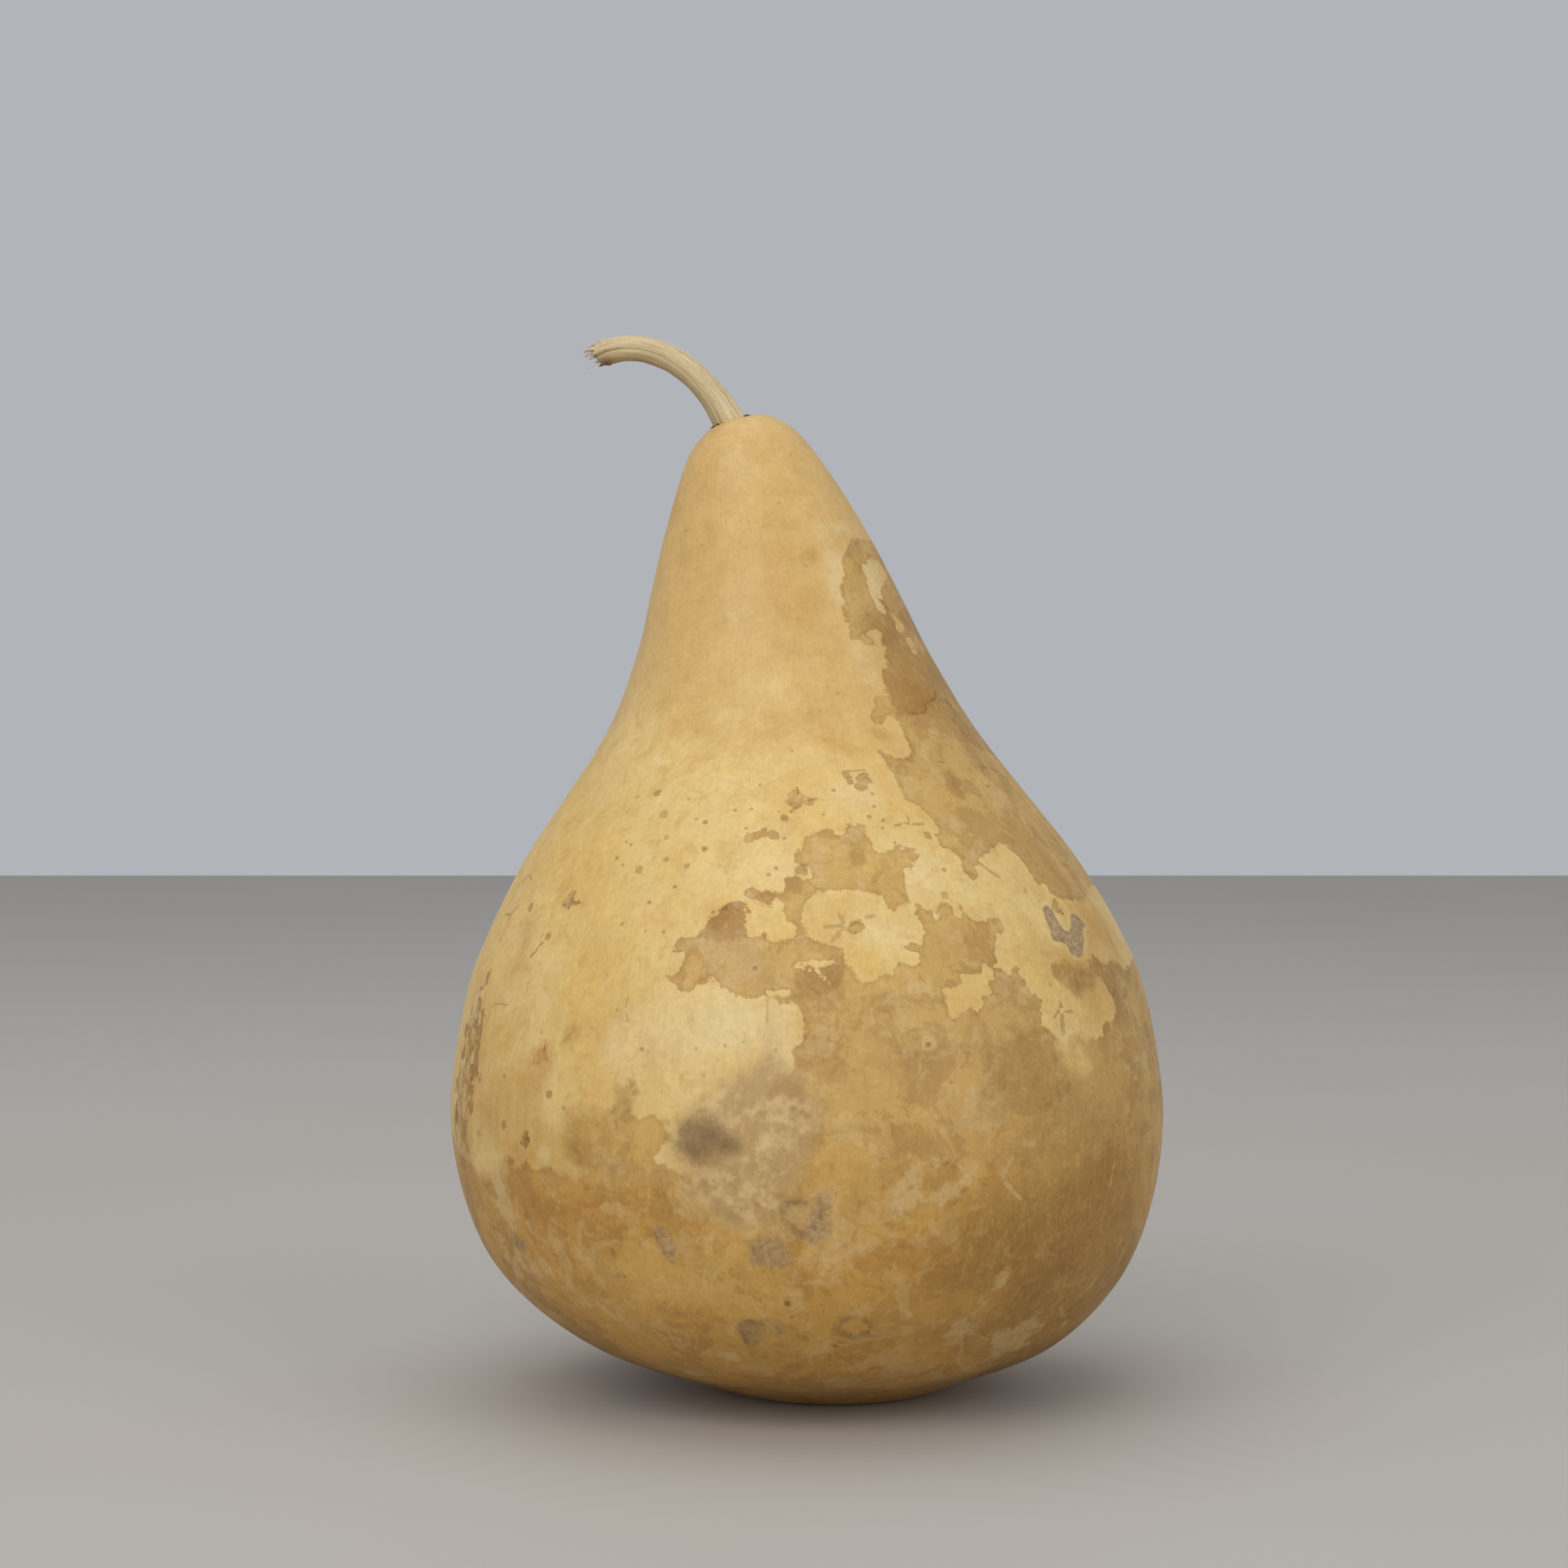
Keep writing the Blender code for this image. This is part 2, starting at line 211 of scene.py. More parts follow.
BELLY_STAIN = [
    (-24, 136.8), (-22.7, 137.5), (-22.2, 139.7), (-20, 141.1), (-18.5, 140.6), (-18.2, 142.2),
    (-17.2, 143.6),
    (-16.5, 145.6), (-15.2, 147.2), (-14, 148.6), (-12.5, 149.7), (-11.2, 151.1), (-10.5, 150.3),
    (-10, 148.3),
    (-10.2, 144.4), (-10.7, 142.2), (-10, 140.3), (-8.5, 141.1), (-6.2, 140.3), (-5, 139.2),
    (-3.5, 139.7),
    (-2.5, 140.7), (-1.2, 141.4), (0.2, 141.1), (1.5, 140), (3, 139), (5, 138.3), (6.2, 137.2),
    (6.5, 135),
    (7.2, 132.2), (8.2, 129.7), (9.7, 128.4), (10.7, 129.7), (13.5, 131.4), (15.1, 133.3), (15, 134.7),
    (16.2, 133.6), (17.5, 133), (19, 133.6), (19.5, 135.6), (18.5, 136.9), (17, 137.8), (18.5, 138.6),
    (20, 139.4), (20.5, 141.7), (20.7, 144.4), (22.2, 145), (24, 145), (24.2, 147.2), (25.5, 149.7),
    (27, 148.9), (28.4, 146.7), (28, 145.3), (28.7, 144.4), (28.7, 147.2), (29.5, 148.4), (30.7, 145.3),
    (33, 144.2), (34.7, 144.4), (35.1, 145.6), (36.5, 146), (37.2, 144.4), (37.6, 141.4), (36.5, 140.3),
    (35, 139.7), (34.2, 137.8), (33.5, 135.3), (33.1, 133.3), (32.6, 130.8), (35.5, 129.6), (37.7, 131),
    (38.5, 128.3), (39, 125.8), (39.4, 124.4), (40.5, 123.6), (41.7, 121.8), (40.7, 121.1), (40, 118.9),
    (40.7, 117.2), (40.2, 115.6), (41.5, 113.9), (42, 111.1), (42.5, 108.3), (43.5, 104.4), (45, 102.2),
    (48, 100.6), (49.7, 101.7), (50, 104.4), (48.5, 107.5), (46, 110), (47.5, 112.2), (49, 111.7),
    (50.5, 108.9), (52, 109.7), (55, 110), (56, 111.1), (55.7, 112.8), (56.5, 115), (57.2, 115.3),
    (58.7, 112.8), (59.2, 114), (60.5, 115.3), (62, 117.8), (60.5, 123), (60, 126.7), (61.5, 129.5),
    (66, 130.5), (72, 127), (80, 129), (100, 128), (135, 112), (180, 98), (225, 92), (265, 84),
    (285, 74), (304, 72), (304, -60), (-75, -60), (-75, 74), (-65, 70), (-58, 72), (-50, 74.4),
    (-48, 76.1),
    (-46.5, 75.3), (-42.7, 75.3), (-39, 73.6), (-37.5, 72.8), (-36, 74.4), (-38.5, 80), (-39.5, 86),
    (-39, 92), (-36.5, 93.2), (-32, 92.8), (-30, 94.2), (-29.5, 96.1), (-29.2, 98.9), (-28, 102.8),
    (-27, 102.2), (-26, 98), (-27.5, 95.6), (-26.7, 92.2), (-25, 90.8), (-23.8, 92.2), (-22.5, 92.8),
    (-21.2, 91.1), (-21, 87.8), (-21.7, 84.5), (-23.5, 80.3), (-21, 77.5), (-17, 76), (-14.9, 75),
    (-15.1, 70.6), (-14.9, 66.4), (-13.5, 64.7), (-12, 63.3), (-8.7, 60.8), (-8.2, 61.9), (-7.5, 65.8),
    (-7, 67.8), (-5.5, 69.7), (-4.7, 71.7), (-3, 72.8), (-2.2, 75), (-0.8, 79), (-0.3, 84), (0.4, 88),
    (-0.3, 92.2), (-2, 92.8), (-4, 96.1), (-5.7, 98.5), (-5.7, 100), (-5.2, 101.7), (-4, 103),
    (-2.5, 104.7),
    (-1.9, 107.2), (-2.2, 109.4), (-2, 111.7), (-1, 112.8), (-0.5, 115), (-0.2, 116.7), (-0.6, 118.9),
    (-0.5, 120.6), (-1, 121.7), (-2.2, 123), (-5.2, 124.2), (-8, 125.2), (-11, 125.3), (-12.5, 126.1),
    (-13, 127.8), (-14.9, 128.9), (-15.5, 130), (-16, 128.9), (-17.2, 127.8), (-18.2, 126.1),
    (-19.5, 125), (-20.5, 126.1), (-21.5, 128.1), (-23.4, 129.2), (-22, 130), (-20.7, 133.3),
    (-20.7, 135.3), (-21.5, 136.7),
]
SMALL_STAINS = [
    [(20.5, 149.7), (22.2, 148.6), (23.5, 146.7), (23.4, 145), (22, 144.4), (20.2, 145.3)],
    [(-8.2, 150), (-7.7, 151.7), (-6.5, 153), (-5.7, 152.9), (-5.5, 151.7), (-5.2, 149.4), (-6.2, 148.8)],
    [(-10.6, 152.8), (-9.2, 153.7), (-8.1, 152.4), (-8.6, 150.4), (-10.2, 150.3)],
    [(-12, 165.6), (-11.2, 167.8), (-10, 168.9), (-8.5, 169.7), (-5.2, 169.4), (-5.2, 167.2), (-8, 166.9),
     (-9.5, 166.1), (-10, 164.7), (-11.5, 164.7)],
    [(-3.3, 175.8), (-2.4, 178.7), (-0.4, 180.4), (0.6, 178.9), (2.2, 178.7), (1.6, 176.6),
     (-0.8, 175.6)],
    [(1.6, 176.6), (2.8, 177.6), (4.3, 177.5), (3, 176)],
    [(15, 181), (15.6, 184.2), (17.6, 185.2), (18.3, 182.6), (16.8, 180.4)],
    [(11, 183.2), (11.8, 185.4), (14.6, 185.6), (13.6, 183.9)],
    [(27.2, 166.7), (27.5, 168.3), (28.9, 168.2), (28.7, 166.6)],
    [(7, 141.2), (7.1, 144.2), (9, 144.6), (10.8, 143.2), (9.6, 141.3)],
    [(-50, 150.4), (-48.6, 151.9), (-47.2, 149.4), (-45.3, 148.2), (-47.6, 147.4), (-48.7, 145.8),
     (-50.3, 147.4)],
    [(-62.6, 146.4), (-62, 148.5), (-60.4, 148.2), (-60.2, 145.4), (-61.6, 144.8)],
    [(-47.9, 105.4), (-46, 107.8), (-45.2, 108.4), (-43.4, 105.9), (-42.8, 104.2), (-44.5, 103.5),
     (-48, 102.9)],
    [(-39.7, 114.6), (-38.5, 115), (-37.9, 112.2), (-39.4, 110.4), (-41, 110.2), (-40.2, 112.4)],
    [(24.4, 137.4), (24.2, 143.8), (25, 144), (25.2, 137.6)],
    [(46, 131), (49, 131.6), (52, 130.4), (54, 129.6), (57, 130.4), (59.5, 132), (61.5, 130),
     (60.5, 127.5),
     (57.6, 126.5), (55.6, 123.5), (53, 124.6), (51.5, 121.6), (50, 122.4), (48, 124.8), (46.4, 127)],
]
# Small browner stains at the left edge and under it
LEFT_STAINS = [
    [(-69, 123.6), (-68.9, 125.4), (-69.2, 127.2), (-67.2, 127.4), (-66.8, 126), (-67.4, 124.6),
     (-66.6, 123),
     (-68, 123.2), (-70.2, 121), (-71, 120.4)],
    [(-71.8, 112), (-71.9, 113.6), (-70.8, 115), (-71, 118.4), (-69.4, 119.3), (-68, 118.6),
     (-67.6, 116.4),
     (-69.4, 114.8), (-70.6, 113.4), (-71.2, 111.6)],
    [(-66.9, 113.6), (-67, 115), (-65.7, 116.6), (-65.3, 115), (-65.8, 113.4)],
    [(-69.8, 110.8), (-69.4, 112.4), (-68.6, 113.6), (-67.6, 112.6), (-67.4, 110.4), (-68.6, 110)],
    [(-68.4, 96.6), (-68.5, 99), (-67.6, 101.4), (-68.2, 103.4), (-66.8, 105), (-68.4, 107.6), (-67, 110),
     (-66.2, 112.4), (-64.4, 114), (-65, 111), (-64.8, 107.6), (-65.3, 104), (-64.6, 100.8), (-65, 99.4),
     (-62.8, 97.4), (-61.6, 96.8), (-64, 96.9), (-65.4, 98), (-66.6, 96.6)],
    [(-68.4, 94.6), (-66.6, 95.2), (-65.4, 93.6), (-65.7, 91.4), (-64.9, 89.4), (-65.6, 86),
     (-66.8, 86.4),
     (-67.2, 89), (-66.6, 91.6), (-69, 93.2)],
    [(-76.4, 107.4), (-75.9, 110.6), (-74.2, 111.4), (-73.2, 109.8), (-74.6, 108.4), (-74.2, 106.8)],
    [(-72.8, 108.6), (-72.4, 110), (-71.2, 109.6), (-71.5, 108)],
    [(-75.8, 101.2), (-75, 105.3), (-73.4, 105.6), (-72.8, 103.4), (-73.6, 101.6), (-74.6, 100.6)],
    [(-78, 90.4), (-77.2, 95.2), (-75, 95.8), (-74.4, 93), (-75.6, 90.2)],
    [(-75, 82.4), (-74.8, 85.6), (-73.4, 86.2), (-73, 83.8), (-73.8, 82)],
    [(-69.2, 80), (-69, 84), (-68.2, 84), (-68.2, 80.4)],
    [(-70.2, 75.6), (-69.2, 78.4), (-67.7, 77.6), (-67.6, 76), (-69, 75.2)],
    [(-63.2, 80.8), (-62.8, 82.2), (-61.6, 82), (-61.8, 80.6)],
    [(-55.4, 74.6), (-54.6, 76.8), (-52.2, 77), (-51, 75.4), (-52.4, 74.4)],
    [(-49.4, 81), (-48.9, 84), (-47.6, 84.8), (-46.8, 82.6), (-47.8, 80.8)],
]
PALE_ISLANDS = [
    [(47.7, 235), (48.2, 236.4), (49.2, 237.9), (50.5, 241.4), (50.2, 242.9), (53, 243.9), (62.5, 245.4),
     (70, 245.7), (75, 244), (75, 241), (70, 239.9), (65, 238.9), (60, 237.5), (58, 236.4), (56, 234.3),
     (52.5, 234.6), (55, 232.1), (54, 229.6), (50.5, 229.6), (48.7, 230.7), (47.7, 232.9)],
    [(56.5, 226), (58, 229), (63, 229.3), (65.3, 227.2), (62, 225.6), (59, 224.9)],
    [(59.2, 223.6), (64.6, 224), (65.4, 219), (62, 217.2), (59.4, 218.4)],
    [(22.5, 126.7), (22.2, 123.3), (22.8, 118.9), (25.2, 120.4), (28.3, 120.1), (28.7, 123.9),
     (30.7, 125.8),
     (31.5, 127.8), (32.5, 129.7), (31.2, 130), (30.5, 132.8), (30, 130.3), (25.5, 130), (25.5, 127.8),
     (24.5, 125.8)],
    [(-6, 127.5), (-5.2, 126.7), (-3.5, 126.9), (-2.1, 126.4), (-3.2, 124.4), (-4.5, 124.2), (-6, 125.5)],
    [(-1.7, 132.9), (0.8, 134.5), (3.4, 134.6), (5.3, 133.5), (3.4, 133.5), (0.8, 133.3)],
    [(0.4, 130.4), (1.9, 131.6), (3, 130.9), (4.2, 127.6), (3, 129), (2, 130.2)],
    [(53.9, 125), (54.2, 126.6), (55.4, 126.3), (55.2, 124.8)],
]

# Darker and browner places inside the stains
DARKER_PLACES = [
    [(36.2, 214.6), (39.5, 215.1), (41.5, 217.5), (43.2, 218.2), (43, 222.5), (44.5, 222.1),
     (46.2, 223.2),
     (48.2, 224.6), (48.5, 227.9), (53, 228.9), (55, 229.6), (56.5, 228.6), (58.5, 225.7), (57.5, 224.3),
     (59.5, 218.6), (61, 216.8), (65, 218.6), (75, 220), (95, 216), (100, 204), (70, 203.2), (60, 205.7),
     (52, 204.3), (50, 201.8), (42, 201.1), (36.2, 200.7), (35.9, 207)],
    [(54.2, 230.6), (55, 234.6), (57.6, 234.4), (57.8, 231)],
    [(65, 224), (65.5, 230.7), (70, 231.6), (82, 232.6), (96, 228), (96, 222)],
    [(40, 178.2), (41, 183.6), (45, 184.6), (47.7, 182.4), (46.4, 178.8), (43, 177.4)],
    [(46.8, 181), (48.4, 183.4), (50.4, 181.8), (52.2, 181.2), (51.2, 177.4), (49, 176.8), (47.8, 178.6)],
    [(60, 199), (64, 197.8), (65, 193.9), (68, 191.1), (76, 189), (100, 186), (110, 200), (70, 203)],
    [(8.4, 160.2), (8.8, 163.4), (10.4, 164.6), (12.2, 163.6), (12.4, 161.2), (10.6, 159.8)],
    [(-3.2, 152.6), (-2.8, 155.4), (-1.2, 157), (0, 155.4), (-0.6, 152.6)],
    [(-18.6, 141), (-16.8, 145.6), (-14, 148.8), (-11.2, 151.2), (-10, 148), (-10.4, 143), (-12, 140.4),
     (-16, 139)],
    [(-1.6, 127), (-1.4, 133), (1, 134.2), (5.6, 133.6), (6.6, 130), (5, 126.8), (1.4, 126)],
    [(-5.7, 99.5), (-5, 100.3), (-3.5, 100.3), (-1.5, 98.3), (-0.3, 96), (-0.3, 92.2), (-2, 92.8),
     (-4, 96.1)],
    [(50.4, 112), (54, 117), (58, 116), (58, 112), (55, 110.6)],
    [(50.4, 118), (51, 127), (55, 129), (58.2, 127), (57.8, 119), (54, 116.6)],
]

# Pale patches low on the rind, where its skin has scuffed
PALE_PLACES = [
    [(20, 81.7), (21.7, 80.3), (19.7, 80), (17, 79.4), (16.2, 77.8), (16.5, 76.1), (15.5, 75.3),
     (14.5, 72.5),
     (16, 71.7), (17.7, 70.8), (17.2, 68.9), (15, 67.2), (13.5, 65.3), (11.6, 66.8), (13, 70),
     (12.6, 73.4),
     (14.6, 77.6), (17, 80.4)],
    [(18, 71), (20.5, 72.4), (24.2, 77), (25.4, 75.4), (23.6, 72.6), (23.2, 69.8), (20.4, 69)],
    [(-18.5, 75), (-17.4, 78.6), (-12, 79), (-11.4, 76), (-14, 75)],
    [(2, 56.4), (3, 60), (5.2, 59.6), (4.8, 56.8)],
    [(1.8, 50), (2.2, 54.6), (4, 54), (3.8, 50.6)],
    [(-19, 22.6), (-18, 24.8), (-15.2, 25), (-15, 22.4), (-17, 21.8)],
    [(35.5, 28.9), (38, 29.7), (40, 29.2), (40.7, 30.6), (42.5, 32.2), (43.7, 33), (45, 31.4),
     (46.2, 30.3),
     (46.7, 28.3), (48, 27.2), (47.2, 25), (48, 22.2), (46.5, 20.3), (40, 20), (38.2, 20.6), (38, 22.2),
     (37, 24.4), (35.2, 25.6)],
    [(30.2, 42), (31, 46.4), (33.6, 46.7), (34, 43), (32, 41.6)],
    [(24.5, 30), (26, 34.2), (29.6, 33.4), (30, 29.6), (27, 29)],
    [(56, 25.6), (57, 27.8), (59, 27.4), (58.6, 25.4)],
    [(68, 99.6), (68.8, 105), (71, 104.4), (70.6, 99.8)],
    [(67, 77.2), (67.8, 81.6), (70, 81), (69.8, 77)],
    [(-60, 59), (-59, 70), (-56.4, 74.8), (-55.4, 70), (-55.2, 65.6), (-53.5, 61.7), (-54, 58.9),
     (-55.2, 57.2),
     (-58, 57.4)],
    [(-64.5, 44), (-63.6, 51.8), (-62, 51), (-62, 44.6)],
    [(-60, 45.6), (-59, 49), (-56, 48.8), (-56.4, 45.8)],
    [(-56, 44.7), (-52.7, 46.1), (-52.5, 42.2), (-53.2, 41), (-55.7, 41.7), (-58, 43.9)],
    [(-65, 38.4), (-64, 43.8), (-60, 43.4), (-60.4, 38.8)],
    [(-34.5, 14.4), (-33, 16.2), (-27.4, 16), (-28, 14)],
    [(15.5, 125.6), (15.6, 128.8), (20, 129), (19.8, 125.4)],
]

# Grey weathered marks: areas, and bands with their width
GREY_AREAS = [
    [(50, 146.4), (52, 147.2), (53, 146.1), (53, 142.2), (53.5, 140.3), (55, 139.4), (56.5, 140.6),
     (57.5, 142.5),
     (59, 144.2), (60.5, 144.2), (61.2, 142.8), (62.7, 140.6), (60, 139.7), (59.2, 136.7), (58, 135.3),
     (56.7, 133.3), (55, 132.3), (53.5, 132.8), (52.5, 133.9), (52.7, 135.8), (51.5, 136.7),
     (49.5, 137.2),
     (48.6, 138.3), (49.5, 140), (49.5, 142.2), (49.7, 144.4)],
]
# Fainter ones, with clear edges too
FAINT_GREY_AREAS = [
    [(-9.2, 56), (-8.8, 58.5), (-7.5, 60), (-6, 60.6), (-4.5, 60.6), (-3.6, 59), (-2.6, 56), (-2.4, 53.5),
     (-3.4, 51.5), (-5, 50.6), (-6.8, 51.4), (-8.4, 53)],
    [(-2.4, 61.2), (-1, 62.4), (0.4, 64.6), (0.6, 68), (1, 71.5), (2.2, 73.2), (3.4, 72.6), (3.8, 70),
     (3.2, 67), (3.4, 63.5), (3, 60.5), (1.8, 58.4), (0.4, 58), (-1.2, 59.6)],
    [(-57.5, 49.5), (-58.2, 52), (-56, 53.6), (-53.4, 52.6), (-53.6, 50), (-55.6, 48.8)],
    [(-24.4, 60), (-23.6, 62), (-21.6, 60.6), (-20.4, 57.6), (-20.8, 53.4), (-22, 51.4), (-23.2, 54)],
    [(-13.2, 30), (-13, 34.6), (-10.4, 36), (-8, 34.8), (-8.6, 30.6), (-10.6, 26.4), (-12.6, 26)],
    [(-6.8, 31.6), (-6.4, 35), (-4.4, 34.4), (-4.6, 31)],
    [(130, 60), (134, 66), (141, 64), (143, 57), (137, 52), (131, 54)],
    [(-146, 92), (-144, 98), (-138, 99), (-134, 93), (-138, 87), (-143, 87)],
]
GREY_ROUNDS = [
    (-15.8, 86.6, 9, 7.6, 1.3), (-10.6, 85, 3.2, 2.6, 0.6), (-1.5, 87, 4, 7, 0.3),
    (-7.6, 55.8, 2, 2.6, 0.4),
    (5, 28.9, 1.6, 1.2, 0.7), (-11.6, 33, 2.6, 2.4, 0.4),
    (-6.4, 27.6, 2.6, 2.2, 0.5), (-2.4, 30.6, 2.4, 1.6, 0.7), (-3.7, 40.8, 1.6, 1.6, 1.0),
    (-3.4, 43, 2.2, 1.2, 0.5),
    (-13.6, 47.8, 4, 1.8, 0.5), (-9, 45.6, 2, 2.2, 0.5), (-17, 51, 3, 1.2, 0.5),
    (-39.4, 44.5, 2.6, 1.1, 0.6),
    (-32, 47, 3.6, 1.8, 0.6), (-32, 53.3, 1.6, 1.6, 0.7), (-44, 63.2, 2, 1.2, 0.4),
    (-49.6, 60.8, 5, 1.2, 0.4),
    (-56.2, 51, 3.4, 2.1, 0.6), (-59.7, 52, 2, 2.2, 0.6), (44, 17.6, 3.6, 2.6, 0.6),
    (49.2, 19.4, 1.3, 1, 1.1),
    (-58, 30, 8, 5, 0.35), (-44, 28, 10, 6, 0.3), (-50, 40, 8, 5, 0.25), (-26, 94, 3, 4, 0.2),
    (-70, 88, 8, 12, 0.3),
    (58, 108, 5, 5, 0.2), (20, 40, 6, 4, 0.18), (140, 60, 9, 7, 0.8), (-140, 92, 7, 6, 0.9),
    (170, 130, 6, 8, 0.6),
    (110, 40, 8, 5, 0.6), (-110, 45, 9, 6, 0.6), (-165, 35, 8, 6, 0.7), (-158, 150, 4, 5, 0.7),
]
GREY_BANDS = [
    (1.5, 0.8, [(-0.4, 69.8), (-2, 70.3), (-3.4, 69.2), (-3.7, 67), (-3.3, 64.5), (-2.2, 62.6),
                (-1, 61.4)]),
    (1.0, 0.8, [(0.8, 63), (1.8, 65.5), (2.4, 68), (2.2, 70.5)]),
    (1.0, 0.8, [(-24.2, 60.6), (-23.4, 57.2), (-22.8, 53.6), (-21.4, 51.6)]),
    (1.8, 0.8, [(4, 34), (4.8, 36.2), (7.5, 36.8), (9.6, 35.4), (10, 33), (8.8, 31), (6.4, 30.4),
                (4.6, 31.6),
                 (4, 34)]),
    (1.2, 0.85, [(-12.4, 29), (-12.8, 33.6), (-10.6, 35.4), (-8.4, 34.4)]),
    (1.6, 0.6, [(-12, 24), (-12.6, 30), (-10, 35), (-6, 36), (-3, 33)]),
]

# Broad soft tones: place, half width and half height in millimetres, amount
WARM_TONES = [
    (8, 236, 15, 30, 0.55), (-30, 200, 20, 16, 0.3), (2, 196, 24, 8, 0.45), (14, 192, 6, 3, 0.5),
    (27, 195, 4, 3, 0.6), (27, 264, 4, 2.4, 0.5), (23.5, 246.5, 2.5, 1.6, 0.5), (-50, 172, 14, 12, 0.3),
    (-33, 80, 12, 10, 0.5), (-44, 65, 16, 9, 0.9), (-30, 60, 18, 9, 0.7), (-6, 48, 14, 8, 0.6),
    (18, 55, 20, 11, 0.9), (-26, 35, 26, 12, 0.5), (5, 22, 24, 10, 0.5), (52, 204, 12, 5, 0.9),
    (45, 209, 9, 6, 0.8),
    (43, 181, 5, 3.4, 0.9), (-14, 144, 5, 5, 0.9), (54, 125, 9, 10, 0.6), (60, 140, 14, 8, 0.35),
    (-46, 104, 8, 6, 0.6), (-45.5, 106, 4, 4, 0.8), (-50, 97, 14, 8, 0.4), (-52, 152, 5, 4, 0.55),
    (-59, 140, 6, 6, 0.4),
    (-24, 86, 4, 7, 0.4), (-58, 92, 9, 12, 0.8),
    (-70, 74, 9, 12, 0.9), (-70, 96, 6, 16, 0.6), (66, 140, 12, 10, 0.6), (60, 40, 24, 22, 0.6),
    (30, 95, 30, 12, 0.3),
    (-57, 128, 12, 14, 0.4), (-48, 98, 6, 4, 0.5), (-50, 78, 10, 5, 0.6), (49, 131, 8, 6, 0.3),
    (7.5, 151.4, 4, 2.2, 0.4), (-40, 128, 16, 14, 0.25), (-66, 100, 8, 24, 0.45),
    (180, 190, 60, 24, 0.4), (150, 60, 60, 24, 0.6), (-130, 70, 50, 24, 0.5), (-66, 262, 14, 16, 0.3),
]
# Browner tones of the rind; the ones at (0, 8) and (±60, 20) are painted shade along the foot, where the
# floor shades the rind
SHADE_TONES = [
    (52, 212, 14, 10, 0.2), (64, 190, 16, 26, 0.45), (46, 92, 34, 26, 0.35), (55, 62, 34, 26, 0.6),
    (30, 30, 40, 16, 0.45), (58, 36, 26, 18, 0.9), (-8, 134, 10, 7, 0.35), (30, 138, 8, 6, 0.15),
    (10, 162, 4, 3, 0.3), (-62, 34, 26, 14, 0.35), (62, 160, 8, 12, 0.2), (75, 120, 14, 40, 0.2),
    (0, 8, 80, 6, 0.5), (-70, 94, 14, 24, 0.8), (-50, 84, 18, 9, 1.0), (-40, 80, 14, 6, 0.7),
    (68, 138, 14, 12, 1.1),
    (54, 126, 9, 12, 1.0), (62, 128, 5, 16, 0.8), (50, 152, 12, 8, 0.4), (60, 20, 26, 10, 0.8),
    (-60, 20, 26, 10, 0.8), (36, 52, 36, 16, 0.7),
    (-52, 92, 12, 8, 0.5), (30, 95, 40, 14, 0.25), (30, 62, 16, 10, 0.35),
]
# Paler tones of the rind; the ones at (-12, 118) on the belly and (-18, 230) on the neck also paint a
# highlight where the window light shines
PALE_AND_HIGHLIGHT_TONES = [
    (-12, 118, 13, 11, 0.9), (-24, 112, 10, 12, 0.5), (-4, 110, 6, 10, 0.6), (12, 142, 12, 8, 0.65),
    (-9, 162, 14, 10, 0.5), (22, 158, 10, 10, 0.7), (42, 158, 8, 6, 0.5), (14, 178, 16, 8, 0.5),
    (-18, 230, 8, 22, 0.35), (31, 232, 5, 20, 0.55), (30, 212, 5, 8, 0.4), (46, 254, 12, 3, 0.5),
    (-12, 272, 8, 12, 0.4), (46, 116, 5, 9, 0.6), (-2, 172, 12, 6, 0.15), (-30, 150, 14, 14, 0.35),
    (-3, 122, 4, 3, 0.5), (-30, 112, 10, 12, 0.5), (50, 239, 14, 9, 0.9), (10, 160, 9, 7, 0.8),
    (-30, 42, 22, 14, 0.4), (-8, 50, 12, 12, 0.7), (-10, 36, 14, 10, 0.4), (-44, 79, 3, 3, 0.9),
    (-30, 76, 12, 6, 0.7), (-24, 50, 24, 16, 0.5), (-24, 86, 6, 8, 0.8),
]
# Painted shade, darkest low on the sides, where the floor shades the rind
PAINTED_SHADE_TONES = [
    (62, 12, 30, 13, 1.0), (-64, 12, 28, 13, 1.0), (74, 40, 10, 18, 0.5), (-74, 52, 8, 22, 0.4),
    (38, 44, 28, 18, 0.35), (-72, 86, 8, 18, 0.35), (180, 8, 70, 12, 0.9), (-2, 0, 30, 5, 0.6),
    (30, 30, 14, 6, 0.2),
]
# Where the stains' edges are soft
SOFT_TONES = [
    (-38, 87, 8, 13, 1.0), (-9, 88, 16, 15, 1.0), (-10, 70, 12, 11, 0.9), (46, 104, 8, 7, 0.9),
    (-30, 97, 8, 5, 0.5), (-60, 74, 14, 8, 0.7), (72, 140, 12, 12, 0.6), (53, 127, 10, 8, 0.6),
    (-39.7, 112.5, 4, 5, 0.9),
]
# Where a net of brown marks covers the rind
NET_TONES = [(-70, 103, 7, 22, 1.0), (-74, 84, 8, 16, 0.7), (-66, 60, 8, 12, 0.4),
             (150, 100, 14, 30, 0.8)]
GREYISH_TONES = [
    (-8, 102, 9, 8, 0.55), (-9, 88, 18, 12, 1.2), (-10, 72, 13, 11, 1.2), (-5.5, 115, 4, 9, 0.5),
    (-80, 200, 16, 60, 0.45), (-84, 110, 18, 50, 0.15), (-76, 60, 16, 30, 0.4), (-56, 46, 10, 8, 0.4),
    (84, 60, 12, 26, 0.25), (72, 228, 8, 10, 0.3), (-3, 92, 7, 13, 0.9), (-30, 77, 12, 6, 0.6),
    (-46, 88, 5, 5, 0.4),
]

# The soft tones by the name that the rind's material reads
SOFT_LAYERS = {
    "net": NET_TONES, "warm": WARM_TONES, "shade": SHADE_TONES, "dark": PAINTED_SHADE_TONES,
    "bright": PALE_AND_HIGHLIGHT_TONES, "greyish": GREYISH_TONES, "soft_edge": SOFT_TONES,
}

